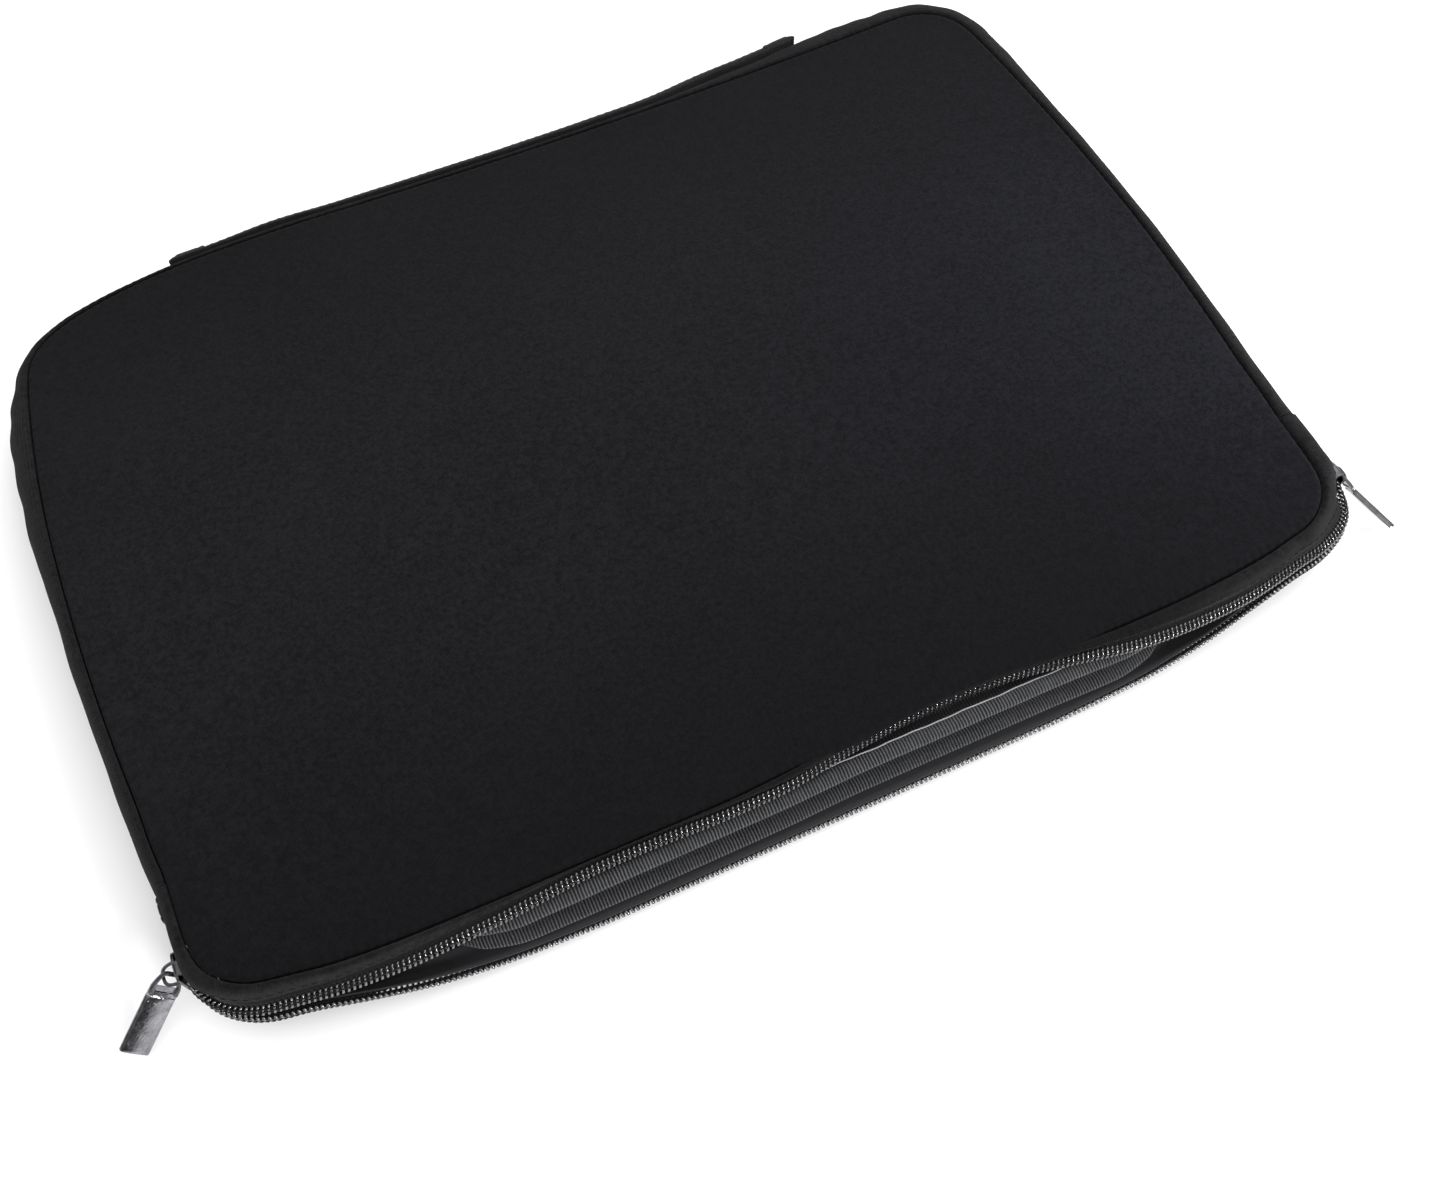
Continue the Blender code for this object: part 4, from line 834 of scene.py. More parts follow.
def soft(x, y, k=0):
    """Long soft unevenness of a foam-backed cloth."""
    w = [(0.051, 0.018, 0.3), (0.021, -0.047, 1.7), (0.083, 0.037, 2.9), (-0.034, 0.078, 4.1), (0.012, 0.026, 0.9)]
    a = [0.10, 0.12, 0.05, 0.05, 0.20]
    return sum(q * np.sin(u * x + v * y + p + k) for (u, v, p), q in zip(w, a))


def panel(name, outline, nrm, run, zt, zb, mats, seam_down):
    """A cloth panel: fine rings at its edge, coarser ones towards the middle.
    seam_down is +1 where the edge turns down (top panel), -1 where it turns
    up (bottom panel)."""
    n = len(outline)
    pk = pucker(run[:-1])
    verts, polys = [], []

    def ring(p, z):
        verts.append(np.column_stack([p, z]))
        return sum(len(v) for v in verts) - len(p)

    def quads(a, b, m, flip=False):
        j = np.arange(m)
        q = np.stack([a + j, a + (j + 1) % m, b + (j + 1) % m, b + j], 1)
        polys.append(q[:, ::-1] if flip else q)

    face, hid = (zt, zb) if seam_down > 0 else (zb, zt)
    nearby = smooth((-outline[:, 1] - 92.0) / 22.0)
    R = 1.15 + 0.28 * pk + 0.85 * nearby
    # in the middle of the upper lip the panel rolls out over the strip
    over = 2.8 * tuck(outline[:, 0]) * (outline[:, 1] < -100) * (seam_down > 0)
    R = R * (1 - 0.18 * over)
    ds = [0.15, 0.22, 0.36, 0.58, 0.90, 1.30, 1.80, 2.5, 3.6, 5.2]
    flip = seam_down < 0
    # rim wall, from the hidden face up to the visible one
    p = outline - nrm * ds[0]
    hidden0 = ring(p, hid(p[:, 0], p[:, 1]))
    prev = None
    for d in ds:
        out = over * math.exp(-(d / 4.0) ** 2)
        p = outline + nrm * (out - d)[:, None]
        z = face(p[:, 0], p[:, 1]) - seam_down * roll(np.full(n, d) - 0.13, R) + 0.10 * out
        swell = 0.13 * (1 - pk) * math.exp(-((d - 1.7) / 1.3) ** 2) * seam_down
        z = z + swell + seam_down * soft(p[:, 0], p[:, 1]) * min(d / 5.2, 1.0) * (1.0 if seam_down > 0 else 0.0)
        a = ring(p, z)
        quads(hidden0 if prev is None else prev, a, n, flip)
        prev = a
    # from n points to n / 4
    m = n // 4
    base = outline - nrm * 8.0
    base = base[::4]

    def shown(p):
        z = face(p[:, 0], p[:, 1])
        return z + (soft(p[:, 0], p[:, 1]) if seam_down > 0 else 0.0)

    a = ring(base, shown(base))
    k = np.arange(m)
    o = prev + 4 * k
    o1, o2, o3, o4 = o + 1, o + 2, o + 3, prev + (4 * (k + 1)) % n
    i0, i1 = a + k, a + (k + 1) % m
    tri = np.concatenate([np.stack(t, 1) for t in ((i0, o, o1), (i0, o1, o2), (i0, o2, i1), (i1, o2, o3), (i1, o3, o4))])
    # the same turn as the quads have: outer ring first
    tri = np.concatenate([np.stack(t, 1) for t in ((o, o1, i0), (o1, o2, i0), (o2, i1, i0), (o2, o3, i1), (o3, o4, i1))])
    polys.append(tri[:, ::-1] if flip else tri)
    prev = a
    for f in np.linspace(1.0, 0.03, 46)[1:]:
        p = base * f
        a = ring(p, shown(p))
        quads(prev, a, m, flip)
        prev = a
    c = ring(np.zeros((1, 2)), shown(np.zeros((1, 2))))
    j = np.arange(m)
    t = np.stack([prev + j, prev + (j + 1) % m, np.full(m, c)], 1)
    polys.append(t[:, ::-1] if flip else t)
    # hidden face
    hb = outline[::4] - nrm[::4] * 4.0
    a = ring(hb, hid(hb[:, 0], hb[:, 1]))
    o = hidden0 + 4 * k
    o1, o2, o3, o4 = o + 1, o + 2, o + 3, hidden0 + (4 * (k + 1)) % n
    i0, i1 = a + k, a + (k + 1) % m
    tri = np.concatenate([np.stack(t, 1) for t in ((o, o1, i0), (o1, o2, i0), (o2, i1, i0), (o2, o3, i1), (o3, o4, i1))])
    polys.append(tri if flip else tri[:, ::-1])
    prev = a
    for f in (0.93, 0.82, 0.66, 0.48, 0.30, 0.12):
        p = hb * f
        a = ring(p, hid(p[:, 0], p[:, 1]))
        quads(prev, a, m, not flip)
        prev = a
    c = ring(np.zeros((1, 2)), hid(np.zeros((1, 2)), np.zeros((1, 2)))[0] if False else hid(np.zeros(1), np.zeros(1)))
    t = np.stack([prev + j, prev + (j + 1) % m, np.full(m, c)], 1)
    polys.append(t if flip else t[:, ::-1])
    tris = np.concatenate([p for p in polys if p.shape[1] == 3])
    qs = np.concatenate([p for p in polys if p.shape[1] == 4])
    v = np.vstack(verts)
    return write_mesh(name, v, [qs, tris], mats)


def top_under(x, y):
    return z_top(x, y) - PANEL_T + EDGE_THIN * smooth((-y - 112.0) / 12.0)


top = panel("panel_top", TOP, TOP_N, TOP_S, z_top, top_under, PANEL_M, 1.0)
place(top, "sleeve", "top_panel")
bottom = panel("panel_bottom", BOT, BOT_N, BOT_S, lambda x, y: z_bot(x, y) + PANEL_T, z_bot, PANEL_M, -1.0)
place(bottom, "sleeve", "bottom_panel")


# --------------------------------------------------------------------- linings
def lining(name, outline, nrm, room, zt, zb, fr):
    p = (outline - nrm * room[:, None])[::3]
    m = len(p)
    verts, polys = [], []
    count = 0
    rows = []
    for z in (zt, zb):
        rr = []
        for f in fr:
            q = p * f
            verts.append(np.column_stack([q, z(q[:, 0], q[:, 1])]))
            rr.append(count)
            count += m
        verts.append(np.column_stack([np.zeros((1, 2)), z(np.zeros(1), np.zeros(1))]))
        rr.append(count)
        count += 1
        rows.append(rr)
    j = np.arange(m)
    q3, q4 = [], []
    for r, up in ((rows[0], True), (rows[1], False)):
        for a, b in zip(r[:-2], r[1:-1]):
            q = np.stack([a + j, a + (j + 1) % m, b + (j + 1) % m, b + j], 1)
            q4.append(q if up else q[:, ::-1])
        t = np.stack([r[-2] + j, r[-2] + (j + 1) % m, np.full(m, r[-1])], 1)
        q3.append(t if up else t[:, ::-1])
    a, b = rows[1][0], rows[0][0]
    q4.append(np.stack([a + j, a + (j + 1) % m, b + (j + 1) % m, b + j], 1))
    return write_mesh(name, np.vstack(verts), [np.vstack(q4), np.vstack(q3)], LINING_M, sharp=50)


fr = np.concatenate([np.linspace(1.0, 0.9, 8), np.linspace(0.88, 0.04, 26)])
room_t = 6.4 + 4.0 * smooth((-TOP[:, 1] - 96.0) / 22.0)
room_b = 6.4 + 4.0 * smooth((-BOT[:, 1] - 96.0) / 22.0)
dt = PANEL_T + 0.55
lt = lining("lining_top", TOP, TOP_N, room_t, lambda x, y: z_top(x, y) - dt,
            lambda x, y: z_top(x, y) - dt - LINING_T + 0.15 * soft(x * 1.7, y * 1.7, 2.0), fr)
place(lt, "sleeve", "top_lining")
db = PANEL_T + 0.4
lb = lining("lining_bottom", BOT, BOT_N, room_b, lambda x, y: z_bot(x, y) + db + LINING_T + 0.15 * soft(x * 1.7, y * 1.7, 4.0),
            lambda x, y: z_bot(x, y) + db, fr)
place(lb, "sleeve", "bottom_lining")


# ---------------------------------------------------------------- mouth strips
def strip_grid(sts):
    """Ring points of a mouth strip: outer face from the seam to the sewn edge,
    round that edge, and back along the inner face."""
    t = np.array([0, .012, .03, .06, .10, .15, .21, .28, .36, .45, .54, .63, .71, .78, .84, .89, .93, .96, .985, 1.0])
    out = []
    for i, s in enumerate(sts):
        pk = float(pucker(s.s))
        o = bezier(*s.octrl, t)
        inn = bezier(*s.ctrl_in, t)
        th = o - inn
        so = run_of(o)
        left = so[-1] - so
        # edge: the cloth is turned in and pressed flat towards the zip
        cw = float(smooth((abs(s.seam[0]) - 100.0) / 45.0)) * (1.0 if s.seam[1] < -85 else 0.0)
        r = 0.95 + 1.15 * cw
        k = np.sqrt(np.clip(1 - np.clip(1 - left / r, 0, 1) ** 2, 0, 1))
        k = 0.08 + 0.92 * k
        # trough of the row of stitches along the zip
        near = np.exp(-((left - 2.1) / 0.42) ** 2)
        hole = 0.5 + 0.5 * math.cos(2 * math.pi * s.s / STITCH)
        k = k - near * (0.07 + 0.07 * hole) * (1.0 if so[-1] > 4.5 else 0.0)
        o = inn + th * k[:, None]
        R = min(1.35 + 0.30 * pk + 0.5 * cw, 0.85 * s.th)
        if s.upper:
            R *= 1 - 0.8 * float(tuck(s.seam[0])) * (s.seam[1] < -100)
        o[:, 1] -= roll(so, R)
        o[:, 1] += 0.12 * (1 - pk) * np.exp(-((so - 1.6) / 1.1) ** 2)
        # slight ripples where the strip goes round a corner
        x, y = s.seam
        c = float(smooth((abs(x) - 120.0) / 40.0) * smooth((-y - 96.0) / 14.0))
        rip = 0.16 * math.sin(s.s / 1.55 + 1.3 * math.sin(s.s / 9.0)) * c + 0.10 * math.sin(s.s / 4.1 + 0.7)
        mid = np.sin(np.pi * np.clip(so / max(so[-1], 1e-6), 0, 1)) ** 2
        nn = unit(th)
        o = o + nn * ((rip + 0.95 * cw) * mid * min(so[-1] / 8.0, 1.0))[:, None]
        nose = 0.5 * (o[-1] + inn[-1]) - s.back * 0.10
        ring = np.vstack([o, nose[None], inn[::-1][::2], inn[:1] if len(t) % 2 == 0 else inn[:0]])
        out.append(s.xyz(ring))
    return np.array(out), len(t)


for nm, sts, node in (("strip_upper", UPPER, "upper_mouth_strip"), ("strip_lower", LOWER, "lower_mouth_strip")):
    P, nt = strip_grid(sts)
    seam_run = np.array([s.s for s in sts])
    ring_uv = run_of(P[40], True)
    ob = outward(skin(nm, P, STRIP_M, uv_run=run_of(np.array([s.seam for s in sts])), uv_ring=ring_uv))
    place(ob, "sleeve", node)
    # one row of stitches that holds the zip
    o = P[:, :nt]
    d = np.linalg.norm(np.diff(o, axis=1), axis=2)
    run = np.concatenate([np.zeros((len(o), 1)), np.cumsum(d, axis=1)], 1)
    left = run[:, -1:] - run
    N = grid_normals(P)[:, :nt]
    if np.mean((N[:, 8] * (P[:, 8] - P[:, -6])).sum(1)) < 0:
        N = -N
    rows, nn, keep = [], [], []
    for i in range(len(o)):
        rows.append([np.interp(-2.1, -left[i], o[i, :, c]) for c in range(3)])
        nn.append([np.interp(-2.1, -left[i], N[i, :, c]) for c in range(3)])
        keep.append(run[i, -1] > 4.6)
    rows, nn, keep = np.array(rows), np.array(nn), np.array(keep)
    # the strip all but vanishes under the middle of the upper lip
    parts, a = [], None
    for i, kf in enumerate(keep):
        if kf and a is None:
            a = i
        if a is not None and (not kf or i == len(keep) - 1):
            if i - a > 12:
                parts.append((a, i))
            a = None
    for k, (a, b) in enumerate(parts):
        st = stitch_row("%s_stitches_%d" % (nm, k), rows[a:b], nn[a:b], THREAD_M, radius=0.2, lift=0.02)
        place(st, "sleeve", None)


# ------------------------------------------------------------------- zip tapes
def tape_grid(sts, k=7):
    out = []
    for s in sts:
        close = closing(s)
        a = s.base - s.back * 0.6
        run = 0.62
        while run > 0.1 and s.fouls(s.follow(1 - run, -TAPE_GAP)):
            run -= 0.02
        line = [(a - s.out * TAPE_GAP, a - s.out * (TAPE_GAP + TAPE_T)),
                (0.5 * (a + s.edge) - s.out * TAPE_GAP, 0.5 * (a + s.edge) - s.out * (TAPE_GAP + TAPE_T)),
                (s.edge - s.out * TAPE_GAP, s.edge - s.out * (TAPE_GAP + TAPE_T))]
        for i in range(1, k + 1):
            t = 1 - run * i / k
            line.append((s.follow(t, -TAPE_GAP), s.follow(t, -(TAPE_GAP + TAPE_T))))
        top = np.array([p[0] for p in line])
        bot = np.array([p[1] for p in line])
        top[:2, 1] -= close
        bot[:2, 1] -= close
        out.append(s.xyz(np.vstack([top, bot[::-1]])))
    return np.array(out)


def closing(s):
    """How far a coil has moved to the zip line, behind the sliders."""
    y = s.seam[1]
    return 1.42 * float(smooth((y + 106.6) / 3.2))


for nm, sts, node in (("tape_upper", UPPER, "upper_zip_tape"), ("tape_lower", LOWER, "lower_zip_tape")):
    P = tape_grid(sts)
    ob = outward(skin(nm, P, TAPE_M))
    place(ob, "sleeve", node)


# ------------------------------------------------------------------- zip coils
def coil_frames(sts):
    """Centre line, and directions back to the cloth and out of the face."""
    run = [s for s in sts if not (s.seam[1] > ZIP_END_Y and abs(s.seam[0]) > 150)]
    C, B, O = [], [], []
    for s in run:
        c = s.coil + np.array([0.0, -closing(s)])
        C.append(s.xyz(c))
        B.append(s.vec(s.back))
        O.append(s.vec(s.out))
    C, B, O = np.array(C), np.array(B), np.array(O)
    return C, B, O, run_of(C)


def coil_mesh(name, sts, phase):
    C, B, O, S = coil_frames(sts)
    k, m = 16, 8
    turns = int((S[-1] - 0.8) / PITCH)
    tau = np.arange(turns * k + 1) / k
    th = 2 * np.pi * tau
    s = 0.4 + PITCH * (tau + phase)
    s = np.clip(s, 0, S[-1])
    at = lambda A: np.stack([np.interp(s, S, A[:, c]) for c in range(3)], 1)
    c, b, o = at(C), unit(at(B)), unit(at(O))
    r = 0.37
    hu, hv = COIL_W / 2 - r, COIL_T / 2 - r
    cu, sv = np.cos(th), np.sin(th)
    head = np.clip(cu, 0, 1) ** 6                 # 1 at the head of each turn
    u = -hu * np.sign(cu) * np.abs(cu) ** 0.70
    v = hv * np.sign(sv) * np.abs(sv) ** 0.78
    u = u - 0.06 * head
    p = c + b * u[:, None] + o * v[:, None]
    # outward direction of the loop's own outline
    nn = unit(b * (-np.sign(cu) * np.abs(cu) ** 1.1 * hv)[:, None] + o * (np.sign(sv) * np.abs(sv) ** 1.1 * hu)[:, None])
    t = unit(np.gradient(p, axis=0))
    side_ = unit(np.cross(t, nn))
    nn = np.cross(side_, t)
    ang = 2 * np.pi * np.arange(m) / m
    rn = r * (1.0 - 0.10 * head)
    rb = r * (1.0 + 0.42 * head)
    P = (p[:, None] + nn[:, None] * (rn[:, None] * np.cos(ang)[None])[:, :, None]
         + side_[:, None] * (rb[:, None] * np.sin(ang)[None])[:, :, None])
    ob = outward(skin(name, P, COIL_M))
    return ob, (C, B, O, S)


for nm, sts, node, ph in (("coil_upper", UPPER, "upper_zip_coil", 0.0), ("coil_lower", LOWER, "lower_zip_coil", 0.5)):
    ob, (C, B, O, S) = coil_mesh(nm, sts, ph)
    place(ob, "sleeve", node)
    # the filler cord inside the turns, and the two lockstitch rows over them
    cord = tube(nm + "_filler", C[::2], 0.52, THREAD_M, 7)
    place(cord, "sleeve", None)
    q = np.arange(0.6, S[-1] - 0.4, PITCH / 4)
    at = lambda A: np.stack([np.interp(q, S, A[:, c]) for c in range(3)], 1)
    c, b, o = at(C), unit(at(B)), unit(at(O))
    for r_i, off in enumerate((-0.15, 0.95)):
        wave = np.cos(2 * np.pi * (q - 0.4) / PITCH - 2 * np.pi * (ph + 0.25) - 0.5)
        p = c + b * (off + 0.10 * np.sin(2 * np.pi * q / (2 * PITCH)))[:, None] + o * (COIL_T / 2 - 0.08 + 0.17 * wave)[:, None]
        place(tube("%s_lockstitch_%d" % (nm, r_i), p, 0.15, THREAD_M, 5), "sleeve", None)


# ------------------------------------------------------------------ zip guards
guard_edge = table([-118, -108, -95, -20, 10, 70, 95, 108, 118], [-133.0, -138.0, -140.4, -140.3, -139.5, -139.6, -140.1, -138.0, -133.0])


def guard_grid(upper):
    out = []
    rib = 0.98
    xs = np.arange(-118.0, 118.01, rib / 5)
    for x in xs:
        ye = float(guard_edge(x)) - (0.0 if upper else 0.6)
        y0 = -117.0
        if upper:
            zt = min(22.7, float(up_z(x)) - 2.2)
            zb = zt - GUARD_T
            ib = float(z_top(x, -120.0)) - PANEL_T - LINING_T - GUARD_T - 1.0
            it = ib + GUARD_T
            if it < zt:
                zt, zb = it, ib
        else:
            zb = max(4.6, 2 * ZIP_Z - float(lo_z(x)) + 2.4)
            zt = zb + GUARD_T
            ib = PANEL_T + LINING_T + 0.8 + float(z_bot(x, -122.0))
            it = ib + GUARD_T
        r = GUARD_T / 2
        w = 0.16 * (0.5 + 0.5 * math.cos(2 * math.pi * x / rib + 0.8 * math.sin(x / 6.3)))
        zc = 0.5 * (zt + zb)
        ys_top = y0 + (ye + r - y0) * np.array([0, .12, .24, .36, .48, .58, .66, .72, .77, .81, .85, .89, .93, .97, 1.0])
        f = smooth((ys_top - y0) / (-127.0 - y0))
        sink = -1.1 * smooth((ys_top - (ye + 4.4)) / 1.4) * smooth((-ys_top + y0 + 6.0) / 6.0 + 0.4) if upper else 0 * ys_top
        swell = 0.35 * np.sin(np.pi * np.clip((ys_top - ye - r) / 3.6, 0, 1))
        top = [(x, y, it + (zt - it) * float(k) + w * (0.2 + 0.8 * float(k)) + float(q) + float(v))
               for y, k, q, v in zip(ys_top, f, sink, swell)]
        nose = [(x, ye + r - (r + w * 0.8) * math.sin(a), zc + (r + w * 0.8) * math.cos(a)) for a in np.radians([22, 45, 67, 90, 113, 135, 158])]
        bot = [(x, y, ib + (zb - ib) * float(k) - w * (0.2 + 0.8 * float(k)) + float(q)) for y, k, q in zip(ys_top[::-1], f[::-1], sink[::-1])]
        out.append(top + nose + bot)
    return np.array(out)


for nm, upper, node in (("guard_upper", True, "upper_zip_guard"), ("guard_lower", False, "lower_zip_guard")):
    P = guard_grid(upper)
    ob = outward(skin(nm, P, GUARD_M))
    place(ob, "sleeve", node)


# the pale welt where the upper guard is sewn to the tape
xs = np.linspace(-102.0, 104.0, 420)
wy = -134.5 - 0.011 * xs + 0.10 * np.sin(xs / 3.1) + 0.06 * np.sin(xs / 1.3)
wz = np.minimum(22.7, up_z(xs) - 2.2) + 0.12 + 0.08 * np.sin(xs / 2.3)
place(tube("guard_welt", np.column_stack([xs, wy, wz]), 0.22, PALE_THREAD_M, 7), "sleeve", None)


# ---------------------------------------------------------------------- gusset
def gusset_stations():
    keep = TOP[:, 1] > -84.0
    first = int(np.where(keep & ~np.roll(keep, 1))[0][0])
    order = (np.arange(len(TOP)) + first) % len(TOP)
    order = order[:int(keep.sum())]
    w = TOP[order] + TOP_N[order] * bulge(bearing(TOP[order]))[:, None]
    w = np.vstack([[[WIDE_R_END, GUSSET_END_Y]], w, [[WIDE_L_END, GUSSET_END_Y]]])
    r = run_of(w)
    q = np.linspace(0, r[-1], int(r[-1] / 0.62))
    w = np.stack([np.interp(q, r, w[:, k]) for k in (0, 1)], 1)
    w = blur_path(w, 6.0)
    n = path_normals(w)
    f = smooth(np.minimum(np.arange(len(w)), 12) / 12.0)[:, None]
    n = unit(n * f + np.array([1.0, 0.0]) * (1 - f))
    f = f[::-1]
    n = unit(n * f + np.array([-1.0, 0.0]) * (1 - f))
    return w, n


class GussetStation:
    def __init__(self, w, n):
        self.w, self.n = w, n
        dt_, self.st = ray(w, -n, TOP, TOP_S)
        db_, self.sb = ray(w, -n, BOT, BOT_S)
        self.dt, self.db = dt_ - SEAM_GAP, db_ - SEAM_GAP
        st, sb = w - n * self.dt, w - n * self.db
        self.zt = float(z_top(*st))
        self.zb = float(edge_z(*sb))
        self.zm = 0.5 * (self.zt + self.zb)

    def xyz(self, q):
        q = np.asarray(q, float)
        return np.stack([self.w[0] + self.n[0] * q[..., 0], self.w[1] + self.n[1] * q[..., 0], q[..., 1]], -1)

    def skin(self, off, angs):
        up = np.array([[-self.dt + max(self.dt - off, 0.6) * math.cos(a),
                        self.zm + (self.zt - self.zm - off) * math.sin(a)] for a in angs[::-1]])
        dn = np.array([[-self.db + max(self.db - off, 0.6) * math.cos(a),
                        self.zm - (self.zm - self.zb - off) * math.sin(a)] for a in angs[1:]])
        return np.vstack([up, dn])


gw, gn = gusset_stations()
GUSSET = [GussetStation(w, n) for w, n in zip(gw, gn)]


def gusset_grid():
    fine = np.radians([0, 8, 17, 27, 37, 47, 56, 64, 71, 77, 82, 85.5, 88, 90])
    out = []
    for i, g in enumerate(GUSSET):
        o = g.skin(0.0, fine)
        inn = g.skin(STRIP_T, fine[::2] if len(fine) % 2 else np.append(fine[::2], fine[-1]))
        b = float(bearing(g.w))
        pt, pb = float(pucker(g.st)), float(pucker(g.sb))
        s = run_of(o)
        left = s[-1] - s
        Rt, Rb = 1.05 + 0.26 * pt, 1.05 + 0.26 * pb
        o = o.copy()
        o[:, 1] -= roll(s, Rt)
        o[:, 1] += roll(left, Rb)
        o[:, 1] += 0.12 * (1 - pt) * np.exp(-((s - 1.6) / 1.1) ** 2)
        mid = np.sin(np.pi * s / s[-1]) ** 1.5
        # soft ripples where the strip is slack or goes round a corner
        cl = math.exp(-((b - 150) / 16.0) ** 2)
        cr = math.exp(-((b - 38) / 9.0) ** 2)
        w = 0.40 * cl * math.sin(g.st / 2.3 + 1.6 * math.sin(g.st / 15.0)) + 0.30 * cr * math.sin(g.st / 1.7)
        w += 0.22 * math.sin(g.st / 7.7) + 0.12 * math.sin(g.st / 3.9 + 1.0)
        o[:, 0] += w * mid * (0.7 + 0.3 * np.sin(3 * s / s[-1]))
        out.append(g.xyz(np.vstack([o, inn[::-1]])))
    return np.array(out)


P = gusset_grid()
ob = outward(skin("gusset", P, GUSSET_M, uv_run=run_of(np.array([g.w for g in GUSSET])), uv_ring=run_of(P[600], True)))
place(ob, "sleeve", "spine_gusset")


def binding_grid(upper):
    out = []
    for g in GUSSET[14:-14:2]:
        d = g.dt if upper else g.db
        z0, sz = (g.zt - PANEL_T - GAP, -1.0) if upper else (g.zb + PANEL_T + GAP, 1.0)
        n0, n1 = -d - 5.0, -d - 0.7
        ring = []
        c = np.array([(n0 + n1) / 2, z0 + sz * 0.85])
        hu, hv = (n1 - n0) / 2 + 0.15, 0.85
        for a in np.linspace(0, 2 * math.pi, 18, endpoint=False):
            ca, sa = math.cos(a), math.sin(a)
            ring.append((c[0] + math.copysign(abs(ca) ** 0.5, ca) * hu, c[1] + math.copysign(abs(sa) ** 0.7, sa) * hv))
        out.append(g.xyz(np.array(ring)))
    return np.array(out)


for nm, upper, node in (("binding_upper", True, "upper_seam_binding"), ("binding_lower", False, "lower_seam_binding")):
    ob = outward(skin(nm, binding_grid(upper), BINDING_M))
    place(ob, "sleeve", node)


# ---------------------------------------------------------------- zip end tabs
for nm, sx, xo, node in (("end_tab_left", -1, ZL_C[0] - ZL_R - COIL_T / 2, "left_zip_end_tab"),
                         ("end_tab_right", 1, ZR_C[0] + ZR_R + COIL_T / 2, "right_zip_end_tab")):
    y0, y1 = STRIP_END_Y - 0.2, ZIP_END_Y + GAP + 0.2
    secs = []
    for y in np.concatenate([[y0, y0 - 0.12, y0 - 0.4], np.linspace(y0 - 0.9, y1 + 0.9, 16), [y1 + 0.4, y1 + 0.12, y1]]):
        e = min(abs(y - y0), abs(y - y1))
        k = math.sqrt(max(1 - max(1 - e / 0.9, 0) ** 2, 0.0))
        dip = 0.28 * (math.exp(-((abs(y - y0) - 2.0) / 0.35) ** 2) + math.exp(-((abs(y - y1) - 1.8) / 0.35) ** 2))
        n_in, n_out, h = -1.9, 0.95 - 0.6 * (1 - k) - dip, 5.7 - 0.5 * (1 - k)
        ring = []
        for a in np.linspace(0, 2 * math.pi, 36, endpoint=False):
            ca, sa = math.cos(a), math.sin(a)
            un = (n_out + n_in) / 2 + (n_out - n_in) / 2 * math.copysign(abs(ca) ** 0.45, ca)
            uz = h * math.copysign(abs(sa) ** 0.35, sa)
            ring.append((xo + sx * un, y, ZIP_Z + uz))
        secs.append(ring)
    ob = outward(skin(nm, np.array(secs), STRAP_SHEEN_M))
    place(ob, "sleeve", node)
    for k, (yy) in enumerate((y0 - 2.0, y1 + 1.8)):
        zz = np.linspace(-4.3, 4.3, 24)
        path = np.column_stack([np.full(24, xo + sx * 0.63), np.full(24, yy), ZIP_Z + zz])
        st = stitch_row("%s_stitches_%d" % (nm, k), path, np.tile([[sx, 0.0, 0.0]], (24, 1)), THREAD_M,
                        length=1.7, gap=0.4, radius=0.2, lift=0.08)
        place(st, "sleeve", None)


# --------------------------------------------------------------------- sliders
def bevelled(bm, width, seg=3, angle=25.0):
    bmesh.ops.remove_doubles(bm, verts=bm.verts, dist=1e-4)
    bmesh.ops.recalc_face_normals(bm, faces=bm.faces)
    edges = [e for e in bm.edges if len(e.link_faces) == 2 and e.calc_face_angle(0.0) > math.radians(angle)]
    bmesh.ops.bevel(bm, geom=edges, offset=width, segments=seg, profile=0.6, affect="EDGES", clamp_overlap=True)
    return bm


def prism(prof, n0, n1, put, width=0.2, seg=3, angle=25.0):
    bm = bmesh.new()
    a = [bm.verts.new(put(t, n0, z)) for t, z in prof]
    b = [bm.verts.new(put(t, n1, z)) for t, z in prof]
    k = len(prof)
    for i in range(k):
        j = (i + 1) % k
        bm.faces.new((a[i], a[j], b[j], b[i]))
    bm.faces.new(list(reversed(a)))
    bm.faces.new(b)
    return bevelled(bm, width, seg, angle)


def rounded(poly, r, n=5):
    """A polygon with its corners rounded."""
    out = []
    p = np.asarray(poly, float)
    for i in range(len(p)):
        a, b, c = p[i - 1], p[i], p[(i + 1) % len(p)]
        u, v = unit(a - b), unit(c - b)
        rr = min(r, 0.45 * np.linalg.norm(a - b), 0.45 * np.linalg.norm(c - b))
        q0, q1 = b + u * rr, b + v * rr
        for t in np.linspace(0, 1, n):
            out.append(q0 * (1 - t) ** 2 + b * 2 * t * (1 - t) + q1 * t * t)
    return out


def merge(name, bms, mat, sharp=40.0):
    """Several closed bmeshes (millimetres) as one object."""
    verts, polys, base = [], {}, 0
    for bm in bms:
        bm.verts.ensure_lookup_table()
        bmesh.ops.recalc_face_normals(bm, faces=bm.faces)
        for i, v in enumerate(bm.verts):
            v.index = i
            verts.append(tuple(v.co))
        for f in bm.faces:
            polys.setdefault(len(f.verts), []).append([base + v.index for v in f.verts])
        base += len(bm.verts)
        bm.free()
    return write_mesh(name, np.array(verts), [np.array(p) for p in polys.values()], mat, sharp=sharp)


